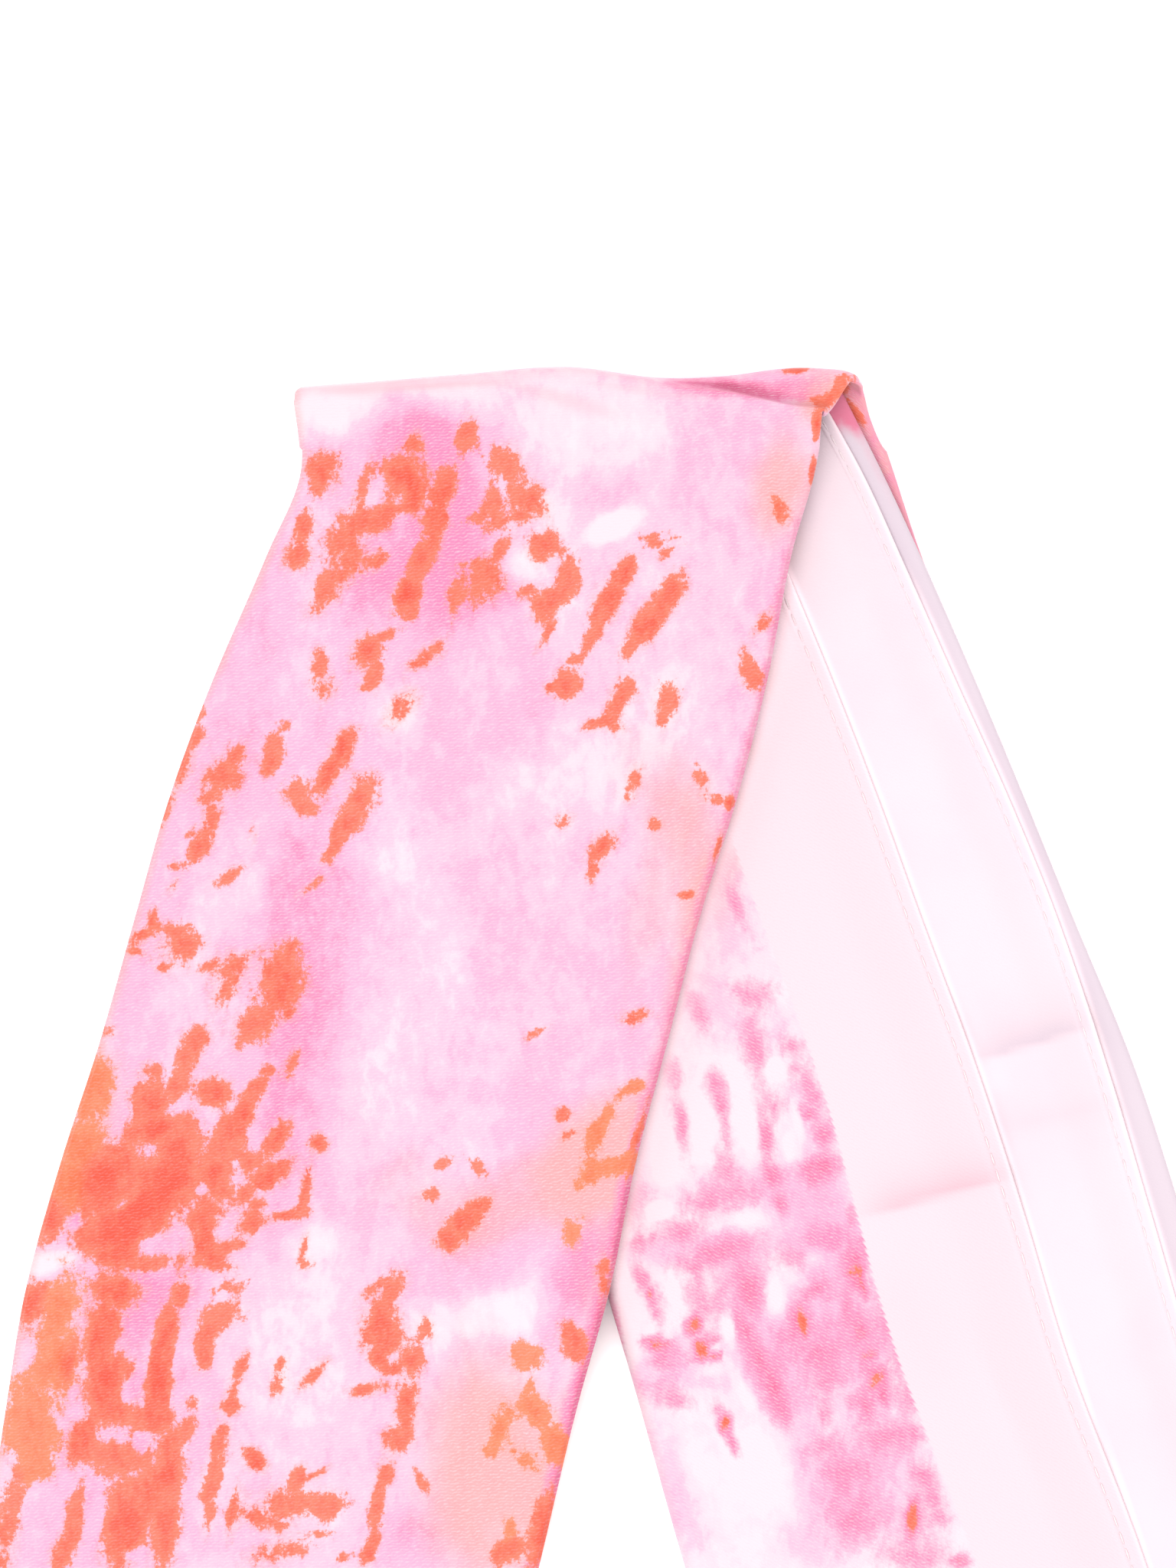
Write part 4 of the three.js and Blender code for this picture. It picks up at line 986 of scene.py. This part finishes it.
flap_top = middle + face_z * half_thick + (hem_end - stitch_dip - thin) * flap_rise
flap_outer = np.stack([flap_x + face_x * half_thick, flap_y, flap_top], -1)
flap_inner = np.stack([flap_x - face_x * half_thick, flap_y, middle - face_z * half_thick], -1)

# The print stops short of the hem by the plain border, in a toothed line.
from_edge = (edge_x - flap_x) * 0.93 + 1.1 * (1 - smooth(down, 92, 122))
beside_front = flap_x - read(FRONT_FALL, "right", -flap_y)
# Painted light: a highlight on the hem's rim, and light painted into the shade beside the front fall's edge.
painted_light = 0.8 * hump(edge_x - flap_x, 0.45) + 0.55 * hump(beside_front, 1.8)
painted_light += 0.5 * hump(beside_front - 2, 2.6) * (1 - smooth(-flap_y, 20, 50))
top_flap = flap_cloth("top_flap_cloth", flap_x, flap_y, flap_outer, flap_inner, {
    **flap_print(flap_x, -flap_y),
    "printed": np.minimum(from_edge - BORDER, END - TOP_SHORT - down - BORDER),
    "painted_shade": creases(TOP_CREASE_SHADE, flap_x, flap_y),
    "painted_light": painted_light,
})
top_flap.data.materials.append(printed_satin("printed_satin_turned", FLAP_WEAVE))
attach(top_flap, "root")
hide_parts("top_flap", "top_hem")

# ---------------------------------------------------------------------------------------------------
# Middle flap. The cloth's wrong side and plain border, with the hem turned up along its right side, so
# that the hem's fold and its stitches show.
MIDDLE_Z = OUTERMOST + GAP + CLOTH + GAP
MIDDLE_SHORT = 0.6
HEM_FOLD = 2.2  # how wide the hem is turned up
TURNED_STITCH = 1.6  # how far in from the edge its stitches run
FLAP_START = 2.4  # how far down it starts
PUCKER = 0.05  # how high the small puckers along the hem stand
PUCKER_PITCH = 2.5
MIDDLE_CREASES = [
    (61.5, 89, 9.5, 5, 5, 17, 0.9),
    (66, 98.5, 9, 4, 7, 12, 0.35),
    (84, 150, 10, 4, 6, 14, 0.4),
    (98, 214, 10, 4, 5, 20, 0.4),
]
# Painted shade along the middle flap's creases, in the same form.
MIDDLE_CREASE_SHADE = [
    (61.5, 89, 8.5, 3.2, 0.4, 17, 0.62), (66, 98.5, 8, 2.2, 3, 12, 0.22), (57, 99, 3.5, 4, 5, -70, 0.2),
]


def flat_section(fold, hidden_to, hidden_places, insets, round_places=6):
    """Places across a flat flap: its left side, what the flap above hides, and what shows beside it."""
    bend = np.linspace(0, math.pi / 2, round_places)
    rows = [(0, half_cloth * (1 - math.cos(a)), 0, math.sin(a)) for a in bend]
    rows += [(s, half_cloth, hidden_to, 1) for s in np.linspace(0, 1, hidden_places + 1)[1:]]
    rows += [(1, half_cloth, inset, 1) for inset in insets]
    rows += [(1, half_cloth, fold * (1 - math.cos(a)), math.sin(a)) for a in bend[::-1][1:]]
    return np.array(rows).T[:, None, :]


shown = np.concatenate([  # close together under the top flap's hem and at its own
    [23.2, 22.2, 21.2, 20.4], np.arange(19.7, 15.4, -0.25), np.arange(15.2, 3.3, -0.85),
    [3.0, 2.7, 2.5, 2.36, 2.26, 2.18, 2.08, 1.95, 1.8, 1.7, 1.6, 1.5, 1.3, 1.0, 0.7, 0.4],
])
share, left_inset, right_inset, rise = flat_section(HEM_ROUND, 24, 12, shown)
down, end_angle = rows_down(FLAP_START, END - MIDDLE_SHORT, half_cloth)
mid_x, mid_y = station(BACK_FALL, "middle_hem", down, share, left_inset + EDGE_ROOM, right_inset)
at_hem = share == 1
hem_share = np.where(at_hem, 1 - smooth(right_inset, HEM_FOLD - 0.1, HEM_FOLD + 0.2), 0)
beside_hem = mid_x - read(BACK_FALL, "top_hem", -mid_y)
mid_inset = read(BACK_FALL, "middle_hem", -mid_y) - mid_x
lift = creases(MIDDLE_CREASES, mid_x, mid_y) * smooth(beside_hem, 0.3, 3.5)
pucker = np.sin(-mid_y * 2 * math.pi / PUCKER_PITCH + 1.3 * np.sin(mid_y * 0.31))
pucker = PUCKER * pucker * (0.6 + 0.4 * np.sin(mid_y * 0.17))
pucker = pucker * np.where(at_hem, 1 - smooth(right_inset, 1.6, 4.5), 0)
stitch_dip = STITCH_DIP * hump(right_inset - TURNED_STITCH, 0.17) * at_hem
near_hem = 1 - smooth(mid_inset, 2.5, 9)
shut = half_cloth * (1 - rise) * at_hem
level = MIDDLE_Z + half_cloth + lift - HEM_SINK * near_hem - shut
mid_top = half_cloth - HEM_THIN * near_hem + HEM_SWELL / 2 * hem_share + pucker - stitch_dip
mid_top = mid_top + end_hem(down, END - MIDDLE_SHORT)
mid_rise = rise * np.sin(end_angle)
mid_outer = np.stack([mid_x, mid_y, level + mid_top * mid_rise], -1)
mid_inner = np.stack([mid_x, mid_y, level - half_cloth * mid_rise], -1)
# The rose beside the top flap's hem is a painted pink shadow. Painted light lifts the contact shade beside
# that hem and paints a highlight on this flap's own hem rim.
hem_shadow = 0.12 * hump(beside_hem, 0.45) + 1.6 * hem_lift(mid_x, mid_y, 0) * hump(beside_hem, 1.8)
middle_flap = flap_cloth("middle_flap_cloth", mid_x, mid_y, mid_outer, mid_inner, {
    "rose": hem_shadow,
    "painted_shade": creases(MIDDLE_CREASE_SHADE, mid_x, mid_y),
    "painted_light": hump(mid_inset, 0.5) + 0.85 * hump(beside_hem - 0.2, 0.5),
})


def plain_satin(name, weave_turn, pale, shade):
    """The unprinted cloth. The print on its far side shows through a little, as faint clouds. Painted shade
    darkens it in creases and beside hems. The rose look brings in the print itself near the turn, and a
    painted pink shadow beside a hem above; painted light lifts contact shade and lights hem rims."""
    made, tree, shader, woven, cloth_spot = satin(name, weave_turn, 0.18)
    faint = ramp(tree, noise(tree, cloth_spot, 0.06, 4, 0.5), 0.35, 0.75)
    colour = tint(tree, faint, cloth_tone(*pale), cloth_tone(*shade))
    # Painted shade in creases and beside hems.
    colour = tint(tree, look_of(tree, "painted_shade"), colour, cloth_tone(214, 205, 221))
    # The rose look: print near the turn, and a painted pink shadow beside the hem above.
    rosy = look_of(tree, "rose")
    ragged_rose = sway(tree, rosy, noise(tree, cloth_spot, 0.6, 5, 0.6), 0.5, rosy)
    colour = tint(tree, ramp(tree, ragged_rose, 0.05, 0.8), colour, cloth_tone(240, 140, 172))
    # Painted light in contact shade and on hem rims.
    colour = tint(tree, look_of(tree, "painted_light"), colour, PAINTED_LIGHT)
    tree.links.new(colour, shader.inputs["Base Color"])
    return made


middle_flap.data.materials.append(plain_satin("plain_satin", FLAP_WEAVE, (249, 241, 249), (248, 236, 246)))
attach(middle_flap, "root")
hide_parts("middle_flap", "middle_hem")

# ---------------------------------------------------------------------------------------------------
# Lower flap. The lowest layer inside the band. Only a strip of it shows, beside the middle flap's hem,
# and its right side is a fold. The print shows on it near the turn.
LOWER_Z = OUTERMOST + GAP
LOWER_SHORT = -0.8  # below 0, as its free end reaches past the outermost layer's
LOWER_START = 1.2
LOWER_CREASES = [(75.6, 96, 3, 1.5, 3, 18, 0.15), (48, 27, 2, 1.2, 2, 10, 0.1)]
shown = np.concatenate([[7, 6, 5.3], np.arange(4.8, 1.7, -0.22), [1.4, 1.1, 0.8]])
share, left_inset, right_inset, rise = flat_section(half_cloth, 8, 16, shown)
down, end_angle = rows_down(LOWER_START, END - LOWER_SHORT, half_cloth)
low_x, low_y = station(BACK_FALL, "lower", down, share, left_inset + EDGE_ROOM, right_inset)
beside_hem = low_x - read(BACK_FALL, "middle_hem", -low_y)
low_lift = creases(LOWER_CREASES, low_x, low_y) * smooth(beside_hem, 0, 1.5)
level = LOWER_Z + half_cloth
low_rise = rise * np.sin(end_angle)
low_outer = np.stack([low_x, low_y, level + (half_cloth + low_lift) * low_rise], -1)
low_inner = np.stack([low_x, low_y, level - half_cloth * low_rise], -1)
near_turn = (1 - smooth(-low_y, 2.5, 8.5)) * smooth(low_x, 30, 34)
near_fold = smooth(low_x - read(BACK_FALL, "lower", -low_y), -2.2, -0.5)
# Painted light lifts the contact shade beside the middle flap's hem, and painted shade darkens the strip
# next to it.
lower_flap = flap_cloth("lower_flap_cloth", low_x, low_y, low_outer, low_inner, {
    "painted_light": 0.85 * hump(beside_hem - 0.2, 0.45) * smooth(-low_y, 22, 34),
    "painted_shade": 0.25 * smooth(2.5 - beside_hem, 0, 2.5),
    "rose": near_turn + 0.25 * (1 - smooth(-low_y, 8, 26)) * near_fold,
})
# A darker, greyer copy of the middle flap's satin: the lower layer's shade is painted into it.
lower_flap.data.materials.append(
    plain_satin("plain_satin_lower_shaded", FLAP_WEAVE, (231, 227, 238), (227, 222, 234)))
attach(lower_flap, "root")
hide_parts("lower_flap")

# ---------------------------------------------------------------------------------------------------
# Stitches. One row of lockstitch holds each hem: along both side hems and across the free ends.
PITCH = 2.35
STITCH = 1.75
THREAD = 0.26
THREAD_HIGH = 0.52  # a stitch's height, as a share of its thread's width
STITCH_SUNK = 0.16  # how deep a stitch's middle lies below the face of a side hem
FRONT_SUNK, BACK_SUNK = 0.02, 0.05  # and below the faces of the two end hems
ROW_FROM, ROW_TO = 1.5, 3  # how far inside a flap's ends its side row starts and stops
CORNERS_ROUND = 6


def stitch_row(name, x, y, z):
    """Stitches laid end to end along a line on the cloth."""
    line = np.stack([x, y, z], 1)
    length = np.concatenate([[0], np.cumsum(np.linalg.norm(np.diff(line, axis=0), axis=1))])
    size = Matrix.Diagonal(Vector((STITCH, THREAD, THREAD * THREAD_HIGH)) / 2 * MM).to_4x4()
    lengthwise = Matrix.Rotation(math.pi / 2, 4, "Y")
    row = bmesh.new()
    for start in np.arange(1, length[-1] - PITCH, PITCH):
        first, last = (
            np.array([np.interp(at, length, line[:, k]) for k in range(3)]) for at in (start, start + STITCH)
        )
        place = Matrix.Translation(Vector((first + last) / 2 * MM + ORIGIN))
        turn_to = Vector(last - first).to_track_quat("X", "Z").to_matrix().to_4x4()
        bmesh.ops.create_uvsphere(
            row, u_segments=CORNERS_ROUND, v_segments=CORNERS_ROUND, radius=1,
            matrix=place @ turn_to @ size @ lengthwise,
        )
    data = bpy.data.meshes.new(name)
    row.to_mesh(data)
    row.free()
    data.shade_smooth()
    data.materials.append(thread)
    made = put(name, data)
    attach(made, "root")
    return made


thread = bpy.data.materials.new("polyester_thread")
thread.use_nodes = True
thread_tree = thread.node_tree
thread_shader = thread_tree.nodes["Principled BSDF"]
fill(thread_shader, {"Roughness": 0.45, "Sheen Weight": 0.2})
place_on = add(thread_tree, "ShaderNodeTexCoord").outputs["Object"]
ply = noise(thread_tree, place_on, 3200, 2, 0.6)
thread_colour = tint(thread_tree, ply, cloth_tone(255, 252, 254), cloth_tone(252, 242, 248))
thread_tree.links.new(thread_colour, thread_shader.inputs["Base Color"])

line_down = np.linspace(LIP + ROW_FROM, END - TOP_SHORT - ROW_TO, 400)
line_x, line_y = station(BACK_FALL, "top_hem", line_down, 1, HEM_STITCH)
line_z = creases(TOP_CREASES, line_x, line_y) + hem_lift(line_x, line_y, HEM_STITCH * 1.1)
line_z = line_z + top - HEM_THIN - STITCH_SUNK
top_stitches = stitch_row("top_hem_stitches", line_x, line_y, line_z)

line_down = np.linspace(FLAP_START + ROW_FROM, END - MIDDLE_SHORT - ROW_TO, 400)
line_x, line_y = station(BACK_FALL, "middle_hem", line_down, 1, TURNED_STITCH)
line_z = creases(MIDDLE_CREASES, line_x, line_y) + MIDDLE_Z + CLOTH - HEM_THIN - STITCH_SUNK
middle_stitches = stitch_row("middle_hem_stitches", line_x, line_y, line_z)

line_share = np.linspace(0.03, 0.97, 120)
line_x, line_y = station(FRONT_FALL, "right", END - HEM_STITCH, line_share, 0)
line_z = line_x * 0 + STACK + HEM_SWELL - FRONT_SUNK
front_stitches = stitch_row("front_end_stitches", line_x, line_y, line_z)

line_x, line_y = station(BACK_FALL, "top_hem", END - TOP_SHORT - HEM_STITCH, line_share, 0)
line_z = hem_lift(line_x, line_y, read(BACK_FALL, "top_hem", -line_y) - line_x)
line_z = line_z + top + HEM_SWELL - BACK_SUNK
back_stitches = stitch_row("back_end_stitches", line_x, line_y, line_z)
